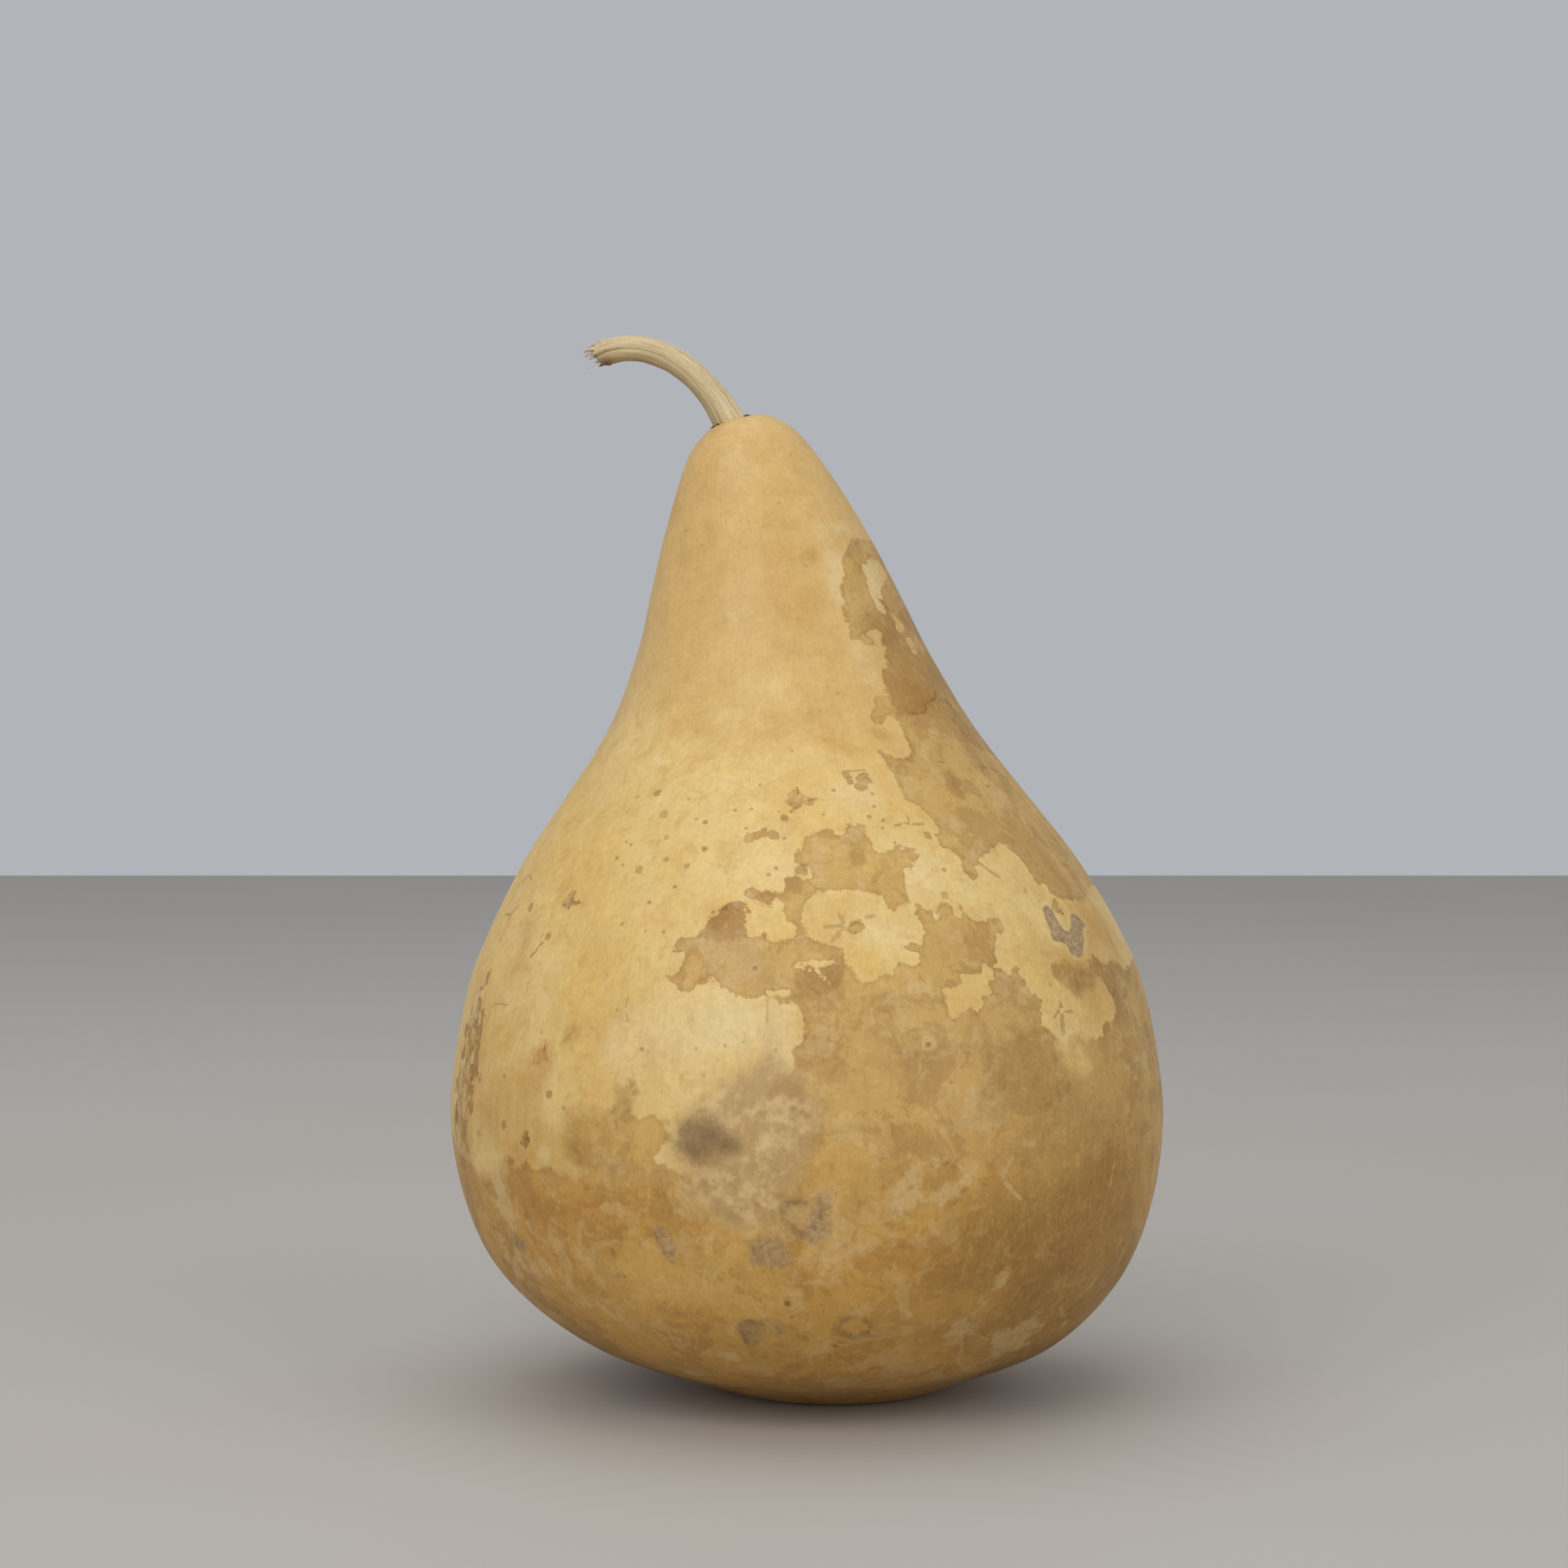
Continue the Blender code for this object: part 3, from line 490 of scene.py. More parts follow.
# Dark cracks: width, darkness, places
CRACKS = [
    (1.5, 0.55, [(6.1, 147.2), (6.9, 143.3), (4.5, 139.7)]),
    (1.4, 0.55, [(3.4, 143.4), (7, 143.5), (9.8, 145.2)]),
    (0.9, 0.5, [(7, 143.3), (5.4, 141.6)]),
    (1.2, 0.5, [(10.4, 145.6), (12.5, 146.3)]),
    (2.3, 0.7, [(45.5, 120.4), (44.6, 112.8)]),
    (1.1, 0.7, [(45.8, 118.2), (48, 118)]),
    (0.9, 0.7, [(43.2, 117), (44.8, 118.8)]),
    (0.9, 0.7, [(21, 170.1), (23.4, 170.9), (25.6, 170.5), (28.4, 170.4)]),
    (0.5, 0.7, [(24.9, 170.8), (25, 172.9)]),
    (1.3, 0.7, [(38, 159.8), (38.8, 158.8), (40, 157.2), (41.8, 155.4)]),
    (0.8, 0.9, [(42, 201.1), (46, 201.2), (50, 201.8), (52, 204.3), (55, 204.6), (60, 205.7),
                (62, 207.9)]),
    (0.6, 0.8, [(53, 204.3), (56, 202.8)]),
    (0.8, 0.8, [(61, 205), (65, 204.4), (70, 203.2)]),
    (0.9, 0.7, [(59.5, 183.3), (60, 184.7), (61.5, 185.8), (65, 185.4), (70, 183.9), (71, 180.5),
                (73, 176.7)]),
    (0.8, 0.7, [(62, 200), (64, 197.8), (65, 193.9), (68, 191.1)]),
    (0.6, 0.8, [(56, 180.2), (58.5, 180.5)]),
    (0.6, 0.8, [(42.5, 187.6), (44.3, 187.4)]),
    (0.6, 0.8, [(62, 220), (63.6, 220.2)]),
    (0.8, 0.8, [(-0.4, 175.3), (-2.5, 173.6)]),
    (0.6, 0.8, [(0.1, 178.6), (0, 181)]),
    (0.5, 0.7, [(2.2, 177.2), (4.4, 177.9)]),
    (0.5, 0.7, [(14, 185.3), (17.6, 185.4)]),
    (0.6, 0.8, [(-50.4, 147.2), (-48.4, 148.2), (-45.2, 148.2)]),
    (0.7, 0.9, [(-48.3, 151.4), (-48.6, 148), (-48.4, 145.9)]),
    (0.8, 0.8, [(-66.8, 145.8), (-68.5, 144.4), (-69.6, 141.6)]),
    (0.7, 0.8, [(-72.9, 142.8), (-69.6, 143.1)]),
    (0.9, 0.9, [(-52.1, 136.8), (-53, 135.8), (-53.4, 134.2), (-54.7, 132.3)]),
    (0.7, 0.7, [(-75, 150.5), (-73, 152.2), (-71, 153.9), (-69.2, 154.3), (-67.2, 153.2)]),
    (0.5, 0.6, [(-75, 160.6), (-73, 161.4)]),
    (0.5, 0.6, [(-66, 169.2), (-64, 169.7)]),
    (0.5, 0.6, [(-64.7, 111.4), (-63, 114.4), (-62.5, 117.2), (-61.5, 118.6), (-59.5, 118.8),
                (-57, 118.9)]),
    (0.5, 0.6, [(-52.7, 125.8), (-52.2, 122.2)]),
    (0.6, 0.7, [(-71.7, 131.4), (-74, 127.8)]),
    (0.6, 0.6, [(-69.3, 122.8), (-72.5, 119.8)]),
    (0.6, 0.7, [(-45, 110.9), (-45.2, 107.8)]),
    (0.5, 0.45, [(-50.5, 112.8), (-51.5, 109.4), (-52.5, 106.7), (-52.7, 103.9)]),
    (0.9, 0.35, [(-6, 124.5), (-6.1, 118)]),
    (0.5, 0.5, [(-29.5, 124), (-29.8, 120), (-28.8, 117)]),
    (0.8, 0.5, [(-69, 138), (-68.9, 135)]),
    (0.7, 0.7, [(-6.9, 142), (-6.8, 140.2)]),
    (0.6, 0.7, [(-43.1, 97.4), (-43.2, 94.4)]),
    (0.5, 0.6, [(12, 261.3), (13.8, 261.6)]),
    (0.5, 0.6, [(-51, 256), (-49.2, 256.2)]),
    (0.5, 0.5, [(-36.9, 270.4), (-36, 268.8)]),
    (1.4, 0.5, [(68, 205), (70, 197), (71.5, 188)]),
    (1.4, 0.45, [(72, 180), (73, 172), (74, 163)]),
    (1.2, 0.4, [(70, 150), (70.6, 140), (70.4, 130)]),
    (0.7, 0.8, [(150, 170), (154, 168), (155, 163)]),
    (0.6, 0.8, [(-150, 120), (-147, 122), (-144, 121), (-142, 117)]),
    (0.6, 0.8, [(110, 150), (112, 146), (116, 145)]),
    (0.7, 0.7, [(-105, 150), (-103, 146), (-104, 142)]),
    (0.6, 0.7, [(175, 210), (178, 204), (176, 199)]),
]
# Pale thin veins: width, paleness, places
VEINS = [
    (1.4, 0.8, [(27.5, 30.6), (28.5, 27.2), (29.5, 23.9), (29.7, 21.1), (31, 18.9), (34.5, 16.1),
                (36.5, 14.7)]),
    (1.2, 0.7, [(30, 29.4), (32.5, 27.8), (35, 26.1)]),
    (1.4, 1.0, [(32, 80), (31, 77.8), (30.4, 75), (30.7, 73.3), (32.5, 70.6), (34.2, 68)]),
    (1.3, 0.8, [(66, 178), (67, 170), (67.5, 160)]),
    (1.3, 0.8, [(67, 118), (67.4, 108), (67.2, 98)]),
    (1.3, 0.7, [(55.7, 75), (55.4, 71.7), (55.1, 67.8)]),
    (1.3, 0.8, [(50.7, 33.6), (52, 32.2), (53, 31.1), (53.7, 29.7), (55.2, 30.3)]),
    (0.6, 0.7, [(24.8, 77.4), (24.2, 75.2), (25, 73.8)]),
    (0.5, 0.5, [(-9, 26), (-10, 30), (-8.4, 34)]),
    (0.5, 0.5, [(-60, 40), (-56, 37), (-53, 36.6)]),
    (0.6, 0.5, [(-30, 69.5), (-33, 70.6), (-36, 70)]),
    (0.6, 0.6, [(8, 12.5), (12, 14.4), (17, 14), (20, 12.4)]),
    (0.7, 0.6, [(-24, 23), (-20, 25), (-15, 24.4)]),
    (0.7, 0.7, [(120, 60), (123, 54), (122, 48), (125, 43)]),
    (0.7, 0.7, [(-120, 80), (-117, 76), (-118, 70)]),
    (0.7, 0.7, [(165, 84), (168, 78), (166, 72), (170, 66)]),
]
# Round spots: place, radius, darkness
SPOTS = [
    (-11.6, 169.6, 0.5, 0.9), (-20, 163.9, 0.9, 0.9), (-3.4, 167, 0.5, 0.8), (-21.1, 171.1, 0.8, 0.9),
    (-23, 159.3, 0.9, 0.7), (-24.6, 153.6, 0.6, 0.9), (15.6, 172.7, 0.7, 0.8), (18.7, 171.7, 0.6, 0.8),
    (17.9, 169.6, 0.5, 0.8), (19.7, 165.6, 0.5, 0.8), (17.5, 175.5, 0.6, 0.7), (18, 179, 0.5, 0.7),
    (8.6, 180, 0.6, 0.8), (28.7, 158, 0.7, 0.8), (26.9, 151.2, 1.3, 0.6), (-14.5, 174.4, 0.6, 0.8),
    (-10.7, 174.9, 0.5, 0.7), (-9.1, 181.5, 0.5, 0.7), (-5, 159, 0.5, 0.8), (-6.4, 157.2, 0.6, 0.8),
    (47.5, 151.3, 0.8, 0.6), (-36.3, 178.9, 1.3, 0.9), (-32.3, 173, 1.5, 0.6), (-29.4, 166.9, 0.9, 0.6),
    (-23.4, 172, 0.6, 0.7), (-26.6, 177.4, 0.6, 0.6), (-42, 177.6, 0.6, 0.6), (-39.7, 165.2, 0.5, 0.7),
    (-38.1, 164.5, 0.5, 0.8), (-40.4, 160.7, 0.6, 0.8), (-38.1, 159, 0.5, 0.8), (-33.6, 157.8, 1.4, 0.7),
    (-28, 160.9, 0.9, 0.7), (-29.2, 149.2, 0.6, 0.8), (-33.8, 143, 0.8, 0.5), (-25, 141.5, 0.7, 0.7),
    (-28.6, 141.5, 0.5, 0.7), (-26, 110, 0.7, 0.7), (-54.7, 99.3, 0.7, 0.7), (-53.9, 85.7, 1.4, 0.8),
    (-39.7, 92.5, 0.6, 0.7), (-12.5, 111.7, 0.6, 0.5), (-43.1, 95.9, 1.3, 0.9), (-51.3, 138.5, 1.3, 0.9),
    (-0.2, 158.6, 1.9, 0.8), (-3.2, 172.5, 1.2, 0.9), (13.3, 182.3, 1.1, 0.8), (-14.2, 148.1, 0.9, 0.9),
    (-16.2, 147, 0.6, 0.7), (-9.8, 147.4, 0.7, 0.9), (-6.9, 141, 0.8, 0.9), (-8.2, 132.5, 0.6, 0.8),
    (-12.1, 84.7, 0.7, 0.8), (-3.7, 40.8, 0.9, 1.0), (-3.2, 37, 0.5, 0.8), (49.2, 19.4, 0.8, 0.9),
    (57.3, 129.6, 0.6, 0.7), (44.3, 125.9, 0.8, 0.5), (3.8, 27.6, 0.6, 0.8), (-30.6, 28.8, 0.5, 0.6),
    (-4.5, 174.2, 0.5, 0.7), (5.4, 173.5, 0.5, 0.6), (-46.4, 112.6, 0.5, 0.6), (-47.4, 83, 0.6, 0.6),
    (21.8, 101.4, 0.5, 0.5), (35.6, 104.2, 0.5, 0.5), (12.4, 92.8, 0.5, 0.5), (28.6, 88.2, 0.5, 0.4),
]
# A small pale ring with a dark middle
RINGED_SPOT = (18.7, 112.2, 2.3, 1.1, 0.8)
RINGED_MIDDLE = (0.9, 0.8)
# How far a thin stroke goes on past its points, as a share of its width
STROKE_OVERLAP = 0.4

# The stage, in metres, watts and degrees
FLOOR_SIZE = 6.0
# Soft boxes: place, what they face, width and height in metres, power in watts, colour
AIM = Vector((0.0, 0.0, 0.14))
SOFT_BOXES = {
    "window": ((-0.95, -1.9, 1.35), (2.2, 1.9), 29.0, (1.0, 0.985, 0.96)),
    "overhead": ((-0.2, 0.2, 2.2), (2.0, 2.0), 14.0, (0.97, 0.985, 1.0)),
    "fill": ((1.7, -1.5, 1.0), (1.8, 1.5), 13.0, (1.0, 0.99, 0.97)),
}
WORLD_STRENGTH = 0.8
CAMERA_PLACE = (-0.00663, -1.1, 0.20886)
CAMERA_PITCH = math.radians(1.5)
LENS = 85.0
SENSOR = 36.0


def linear(red, green, blue):
    """The linear colour of a screen colour given as three numbers up to 255."""
    shares = [part / 255 for part in (red, green, blue)]
    return tuple(part / 12.92 if part <= 0.04045 else ((part + 0.055) / 1.055) ** 2.4 for part in shares)


def paint_between(first, second, share):
    """The colour that is this share of the way from the first to the second."""
    return tuple(a + (b - a) * share for a, b in zip(first, second))


# Colours
CREAM = linear(217, 187, 120)
GOLD = linear(212, 175, 99)
NECK = linear(207, 169, 104)
ORANGE = linear(184, 134, 60)
BRIGHT = linear(222, 198, 144)
TAN = linear(197, 159, 89)
BROWN = linear(143, 100, 42)
OLIVE = linear(139, 100, 38)
LOW_TAN = linear(194, 146, 68)
SCUFF = linear(205, 175, 121)
GREY = linear(108, 80, 46)
ASH = linear(169, 136, 87)
SMOKE = linear(170, 143, 107)
CRACK = linear(139, 91, 36)
# A dark umber for painted shade
SHADE_UMBER = linear(88, 60, 28)
STRAW = linear(196, 174, 130)
STRAW_LIGHT = linear(221, 203, 162)
STRAW_BROWN = linear(134, 106, 68)
SCRAP = linear(70, 52, 34)
FLOOR = linear(178, 171, 161)
BACKDROP = linear(196, 200, 206)


class Signal:
    """A value in a material. Arithmetic on it adds the Math nodes."""

    def __init__(self, paint, socket):
        self.paint = paint
        self.socket = socket

    def math(self, operation, first, second):
        return self.paint.node("ShaderNodeMath", {"operation": operation}, {0: first, 1: second})

    def __add__(self, other):
        return self.math("ADD", self, other)

    def __radd__(self, other):
        return self.math("ADD", other, self)

    def __sub__(self, other):
        return self.math("SUBTRACT", self, other)

    def __rsub__(self, other):
        return self.math("SUBTRACT", other, self)

    def __mul__(self, other):
        return self.math("MULTIPLY", self, other)

    def __rmul__(self, other):
        return self.math("MULTIPLY", other, self)

    def swing(self, amount):
        """Noise from 0 to 1, made to swing about zero by this amount in all."""
        return (self - 0.5) * amount

    def largest(self, other):
        return self.math("MAXIMUM", self, other)

    def between(self, low, high):
        """0 at low and 1 at high, with a soft start and end."""
        return self.paint.node(
            "ShaderNodeMapRange",
            {"interpolation_type": "SMOOTHSTEP"},
            {"Value": self, "From Min": low, "From Max": high},
        )


class Paint:
    """A new material with its Principled shader, and the ways to add nodes to it."""

    def __init__(self, name):
        self.material = bpy.data.materials.new(name)
        self.material.use_nodes = True
        self.tree = self.material.node_tree
        self.shader = self.tree.nodes["Principled BSDF"]

    def connect(self, socket, value):
        if isinstance(value, Signal):
            self.tree.links.new(value.socket, socket)
        elif isinstance(value, tuple) and len(value) == 3 and len(socket.default_value) == 4:
            socket.default_value = (*value, 1.0)
        else:
            socket.default_value = value

    def node(self, kind, settings, values, output=0):
        """A node of any kind: its settings first, then the values or links of its sockets."""
        made = self.tree.nodes.new(kind)
        for name, setting in settings.items():
            setattr(made, name, setting)
        for name, value in values.items():
            self.connect(made.inputs[name], value)
        return Signal(self, made.outputs[output])

    def attribute(self, name, output="Fac"):
        return self.node("ShaderNodeAttribute", {"attribute_name": name}, {}, output)

    def place(self):
        return self.node("ShaderNodeTexCoord", {}, {}, "Object")

    def part(self, vector, axis):
        return self.node("ShaderNodeSeparateXYZ", {}, {0: vector}, axis)

    def stretched(self, vector, scale):
        return self.node("ShaderNodeVectorMath", {"operation": "MULTIPLY"}, {0: vector, 1: scale})

    def noise(self, vector, scale, detail=3.0, roughness=0.5, distortion=0.0, offset=0.0):
        """Cloudy noise from 0 to 1, about 0.5 on average."""
        shift = {0: vector, 1: (offset, offset, offset)}
        shifted = self.node("ShaderNodeVectorMath", {"operation": "ADD"}, shift)
        values = {"Vector": shifted, "Scale": scale, "Detail": detail, "Roughness": roughness}
        values["Distortion"] = distortion
        return self.node("ShaderNodeTexNoise", {}, values)

    def cells(self, vector, scale, feature, output="Distance"):
        values = {"Vector": vector, "Scale": scale}
        return self.node("ShaderNodeTexVoronoi", {"feature": feature}, values, output)

    def mix(self, share, first, second, blend="MIX"):
        """The first colour, turned towards the second by the share."""
        settings = {"data_type": "RGBA", "blend_type": blend}
        return self.node("ShaderNodeMix", settings, {0: share, 6: first, 7: second}, 2)

    def warm_grey(self, change):
        """White, lighter or darker by the change, and yellower where it is darker."""
        parts = {0: change * 0.8 + 1.0, 1: change + 1.0, 2: change * 1.5 + 1.0}
        return self.node("ShaderNodeCombineColor", {}, parts)

    def bump(self, height, distance, strength=1.0):
        values = {"Height": height, "Distance": distance, "Strength": strength}
        return self.node("ShaderNodeBump", {}, values)

    def finish(self, values):
        """Sets the shader's own sockets."""
        for name, value in values.items():
            self.connect(self.shader.inputs[name], value)
        return self.material


def smooth_through(points, steps):
    """A Catmull-Rom line through the points, which keeps both ends."""
    padded = [points[0], *points, points[-1]]
    line = []
    for before, start, end, after in zip(padded, padded[1:], padded[2:], padded[3:]):
        for step in range(steps):
            t = step / steps
            weights = (
                -0.5 * t**3 + t**2 - 0.5 * t,
                1.5 * t**3 - 2.5 * t**2 + 1,
                -1.5 * t**3 + 2 * t**2 + 0.5 * t,
                0.5 * t**3 - 0.5 * t**2,
            )
            corners = (before, start, end, after)
            line.append([sum(w * c[i] for w, c in zip(weights, corners)) for i in range(len(start))])
    line.append(list(points[-1]))
    return np.array(line)


def runs_along(line):
    """How far along the line each of its points is."""
    steps = np.linalg.norm(np.diff(line, axis=0), axis=1)
    return np.concatenate([[0.0], np.cumsum(steps)])


def evenly_spaced(line, count):
    """The line again, with its points at even distances."""
    runs = runs_along(line)
    targets = np.linspace(0.0, runs[-1], count + 1)
    return np.stack([np.interp(targets, runs, line[:, i]) for i in range(line.shape[1])], axis=1)


SIDE_LINE = smooth_through([(0.0, TIP_HEIGHT), *FRUIT_OUTLINE, (FOOT_RADIUS, 0.0)], OUTLINE_STEPS)
SIDE_RUNS = runs_along(SIDE_LINE)
FOOT_EDGE_RADIUS, FOOT_EDGE_HEIGHT = FRUIT_OUTLINE[-1]
STEM_LINE = smooth_through(STEM_PATH, OUTLINE_STEPS)
STEM_RUNS = runs_along(STEM_LINE[:, :2])
STEM_LENGTH = STEM_RUNS[-1]


def run_at(height):
    """Distance down the rind from the tip to this height. Below the foot it goes straight on."""
    height = np.asarray(height, float)
    inside = np.interp(height, SIDE_LINE[::-1, 1], SIDE_RUNS[::-1])
    return inside - np.minimum(height, 0.0)


def radius_at(height):
    return np.interp(height, SIDE_LINE[::-1, 1], SIDE_LINE[::-1, 0])


def wrapped(degrees):
    """The same direction, from -180 to 180 degrees."""
    return (np.asarray(degrees) + 180.0) % 360.0 - 180.0


def step_between(value, low, high):
    """0 at low and 1 at high, with a soft start and end."""
    share = np.clip((value - low) / (high - low), 0.0, 1.0)
    return share * share * (3.0 - 2.0 * share)


def turned(name, outline, columns):
    """A closed mesh turned round Z from an outline that starts and ends on the axis."""
    shape = bmesh.new()
    points = [shape.verts.new((0.0, -radius, height)) for radius, height in outline]
    edges = [shape.edges.new(pair) for pair in zip(points, points[1:])]
    bmesh.ops.spin(
        shape, geom=points + edges, cent=(0, 0, 0), axis=(0, 0, 1), dvec=(0, 0, 0),
        angle=math.tau, steps=columns, use_merge=True, use_normal_flip=False, use_duplicate=False,
    )
    bmesh.ops.remove_doubles(shape, verts=shape.verts, dist=MERGE_DISTANCE)
    bmesh.ops.recalc_face_normals(shape, faces=shape.faces)
    mesh = bpy.data.meshes.new(name)
    shape.to_mesh(mesh)
    shape.free()
    mesh.shade_smooth()
    return mesh


def vertex_places(mesh):
    places = np.zeros(len(mesh.vertices) * 3, np.float32)
    mesh.vertices.foreach_get("co", places)
    return places.reshape(-1, 3).astype(float)


def move_vertices(mesh, places):
    mesh.vertices.foreach_set("co", places.astype(np.float32).ravel())
    mesh.update()


def add_values(mesh, name, values):
    """One number for each vertex of the mesh, for its material to read."""
    layer = mesh.attributes.new(name, "FLOAT", "POINT")
    layer.data.foreach_set("value", np.asarray(values, np.float32))


def add_vectors(mesh, name, vectors, domain="POINT"):
    layer = mesh.attributes.new(name, "FLOAT_VECTOR", domain)
    layer.data.foreach_set("vector", np.asarray(vectors, np.float32).ravel())


def new_piece(name, mesh, material):
    mesh.materials.append(material)
    piece = bpy.data.objects.new(name, mesh)
    bpy.context.scene.collection.objects.link(piece)
    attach(piece, BODY)
    return piece


class Skin:
    """Where each vertex of the upright turned fruit is on the rind, in degrees and millimetres."""

    def __init__(self, places):
        self.radius = np.hypot(places[:, 0], places[:, 1])
        self.height = places[:, 2]
        self.degrees = np.degrees(np.arctan2(places[:, 0], -places[:, 1]))
        under = (self.height < 2 * FOOT_EDGE_HEIGHT) & (self.radius < FOOT_EDGE_RADIUS)
        below = run_at(FOOT_EDGE_HEIGHT) + FOOT_EDGE_RADIUS - self.radius
        self.run = np.where(under, below, run_at(self.height))
        border = AWAY_START + sum(depth * np.sin(self.height / length) for depth, length in AWAY_WAVES)
        self.away = step_between(np.abs(self.degrees) - border, 0.0, AWAY_WIDTH)

    def offsets(self, degrees, height):
        """Millimetres to the right of and above a place on the rind."""
        across = np.radians(wrapped(self.degrees - degrees)) * self.radius
        return across, run_at(height) - self.run


def inside_by(skin, outline):
    """Millimetres inside the outline at each vertex, and below zero outside it."""
    corners = np.array(outline, float)
    corners[:, 1] = run_at(corners[:, 1])
    middle = (corners[:, 0].min() + corners[:, 0].max()) / 2
    degrees = wrapped(skin.degrees - middle) + middle
    margin = FAR + NEAR_MARGIN
    reach = np.degrees(margin / np.maximum(skin.radius, 1.0))
    near = (degrees > corners[:, 0].min() - reach) & (degrees < corners[:, 0].max() + reach)
    near &= (skin.run > corners[:, 1].min() - margin) & (skin.run < corners[:, 1].max() + margin)
    turn, run = degrees[near], skin.run[near]
    scale = np.radians(1.0) * skin.radius[near]
    nearest = np.full(len(turn), 1e9)
    inside = np.zeros(len(turn), bool)
    for (turn_a, run_a), (turn_b, run_b) in zip(corners, np.roll(corners, -1, axis=0)):
        side_x, side_y = (turn_b - turn_a) * scale, run_b - run_a
        from_x, from_y = (turn - turn_a) * scale, run - run_a
        share = (from_x * side_x + from_y * side_y) / np.maximum(side_x**2 + side_y**2, 1e-9)
        share = np.clip(share, 0.0, 1.0)
        nearest = np.minimum(nearest, np.hypot(from_x - share * side_x, from_y - share * side_y))
        if run_a != run_b:
            crossing = turn_a + (run - run_a) / (run_b - run_a) * (turn_b - turn_a)
            inside ^= ((run_a > run) != (run_b > run)) & (turn < crossing)
    found = np.full(len(degrees), -FAR)
    found[near] = np.clip(np.where(inside, nearest, -nearest), -FAR, FAR)
    return found


def inside_any(skin, outlines):
    return np.max([inside_by(skin, outline) for outline in outlines], axis=0)


def soft_tones(skin, tones):
    """How strongly the soft round tones cover each vertex, up to 1."""
    cover = np.zeros(len(skin.degrees))
    for degrees, height, half_width, half_height, amount in tones:
        across, up = skin.offsets(degrees, height)
        cover += amount * np.exp(-((across / half_width) ** 2) - (up / half_height) ** 2)
    return np.clip(cover, 0.0, 1.0)


def soft_bands(skin, bands):
    """How strongly the soft bands cover each vertex."""
    cover = np.zeros(len(skin.degrees))
    for width, amount, places in bands:
        for (degrees_a, height_a), (degrees_b, height_b) in zip(places, places[1:]):
            across, up = skin.offsets(degrees_a, height_a)
            side_x = math.radians(degrees_b - degrees_a) * radius_at(height_a)
            side_y = run_at(height_a) - run_at(height_b)
            share = np.clip((across * side_x + up * side_y) / (side_x**2 + side_y**2), 0.0, 1.0)
            distance = np.hypot(across - share * side_x, up - share * side_y)
            cover = np.maximum(cover, amount * np.exp(-((distance / width) ** 2)))
    return cover


def strokes():
    """Every thin mark as an ellipse: middle, half length and half width, slope, tone."""
    found = [(*RINGED_SPOT[:2], RINGED_SPOT[2], RINGED_SPOT[2], 0.0, -RINGED_SPOT[3])]
    for sign, lines in ((-1.0, VEINS), (1.0, CRACKS)):
        for width, amount, places in lines:
            for start, end in zip(places, places[1:]):
                middle = ((start[0] + end[0]) / 2, (start[1] + end[1]) / 2)
                side_x = math.radians(end[0] - start[0]) * radius_at(middle[1])
                side_y = run_at(start[1]) - run_at(end[1])
                length = math.hypot(side_x, side_y)
                slope = math.atan2(side_y, side_x)
                half = 0.5 * length + STROKE_OVERLAP * width
                found.append((*middle, half, 0.5 * width, slope, sign * amount))
    for degrees, height, radius, amount in SPOTS:
        found.append((degrees, height, radius, radius, 0.0, amount))
    found.append((*RINGED_SPOT[:2], *RINGED_MIDDLE, 0.0, RINGED_SPOT[4]))
    return np.array(found)


def add_strokes(mesh, skin):
    """Gives each face's corners their place in the nearest thin mark, so that it stays sharp."""
    corner_vertex = np.zeros(len(mesh.loops), np.int32)
    mesh.loops.foreach_get("vertex_index", corner_vertex)
    sizes = np.zeros(len(mesh.polygons), np.int32)
    mesh.polygons.foreach_get("loop_total", sizes)
    first = np.concatenate([[0], np.cumsum(sizes)[:-1]])
    corner_face = np.repeat(np.arange(len(sizes)), sizes)
    turn = np.radians(skin.degrees)[corner_vertex]
    east = np.add.reduceat(np.cos(turn), first)
    north = np.add.reduceat(np.sin(turn), first)
    face_degrees = np.degrees(np.arctan2(north, east))
    face_run = np.add.reduceat(skin.run[corner_vertex], first) / sizes
    marks = strokes()
    best = np.full(len(sizes), FACE_REACH)
    chosen = np.full(len(sizes), -1)
    for index, mark in enumerate(marks):
        along, across = in_mark(mark, face_degrees, face_run)
        beside = np.maximum(np.abs(across) - mark[3], 0)
        gap = np.hypot(np.maximum(np.abs(along) - mark[2], 0), beside)
        nearer = gap <= best
        best[nearer] = gap[nearer]
        chosen[nearer] = index
    found = np.full((len(corner_vertex), 3), 9.0)
    found[:, 2] = 0.0
    for index in np.unique(chosen[chosen >= 0]):
        corners = chosen[corner_face] == index
        vertices = corner_vertex[corners]
        along, across = in_mark(marks[index], skin.degrees[vertices], skin.run[vertices])
        found[corners, 0] = along / marks[index][2]
        found[corners, 1] = across / marks[index][3]
        found[corners, 2] = marks[index][5]
    add_vectors(mesh, "thin_mark", found, "CORNER")


def in_mark(mark, degrees, run):
    """Millimetres along and across a thin mark from its middle."""
    right = np.radians(wrapped(degrees - mark[0])) * radius_at(mark[1])
    up = run_at(mark[1]) - run
    cosine, sine = math.cos(mark[4]), math.sin(mark[4])
    return right * cosine + up * sine, up * cosine - right * sine


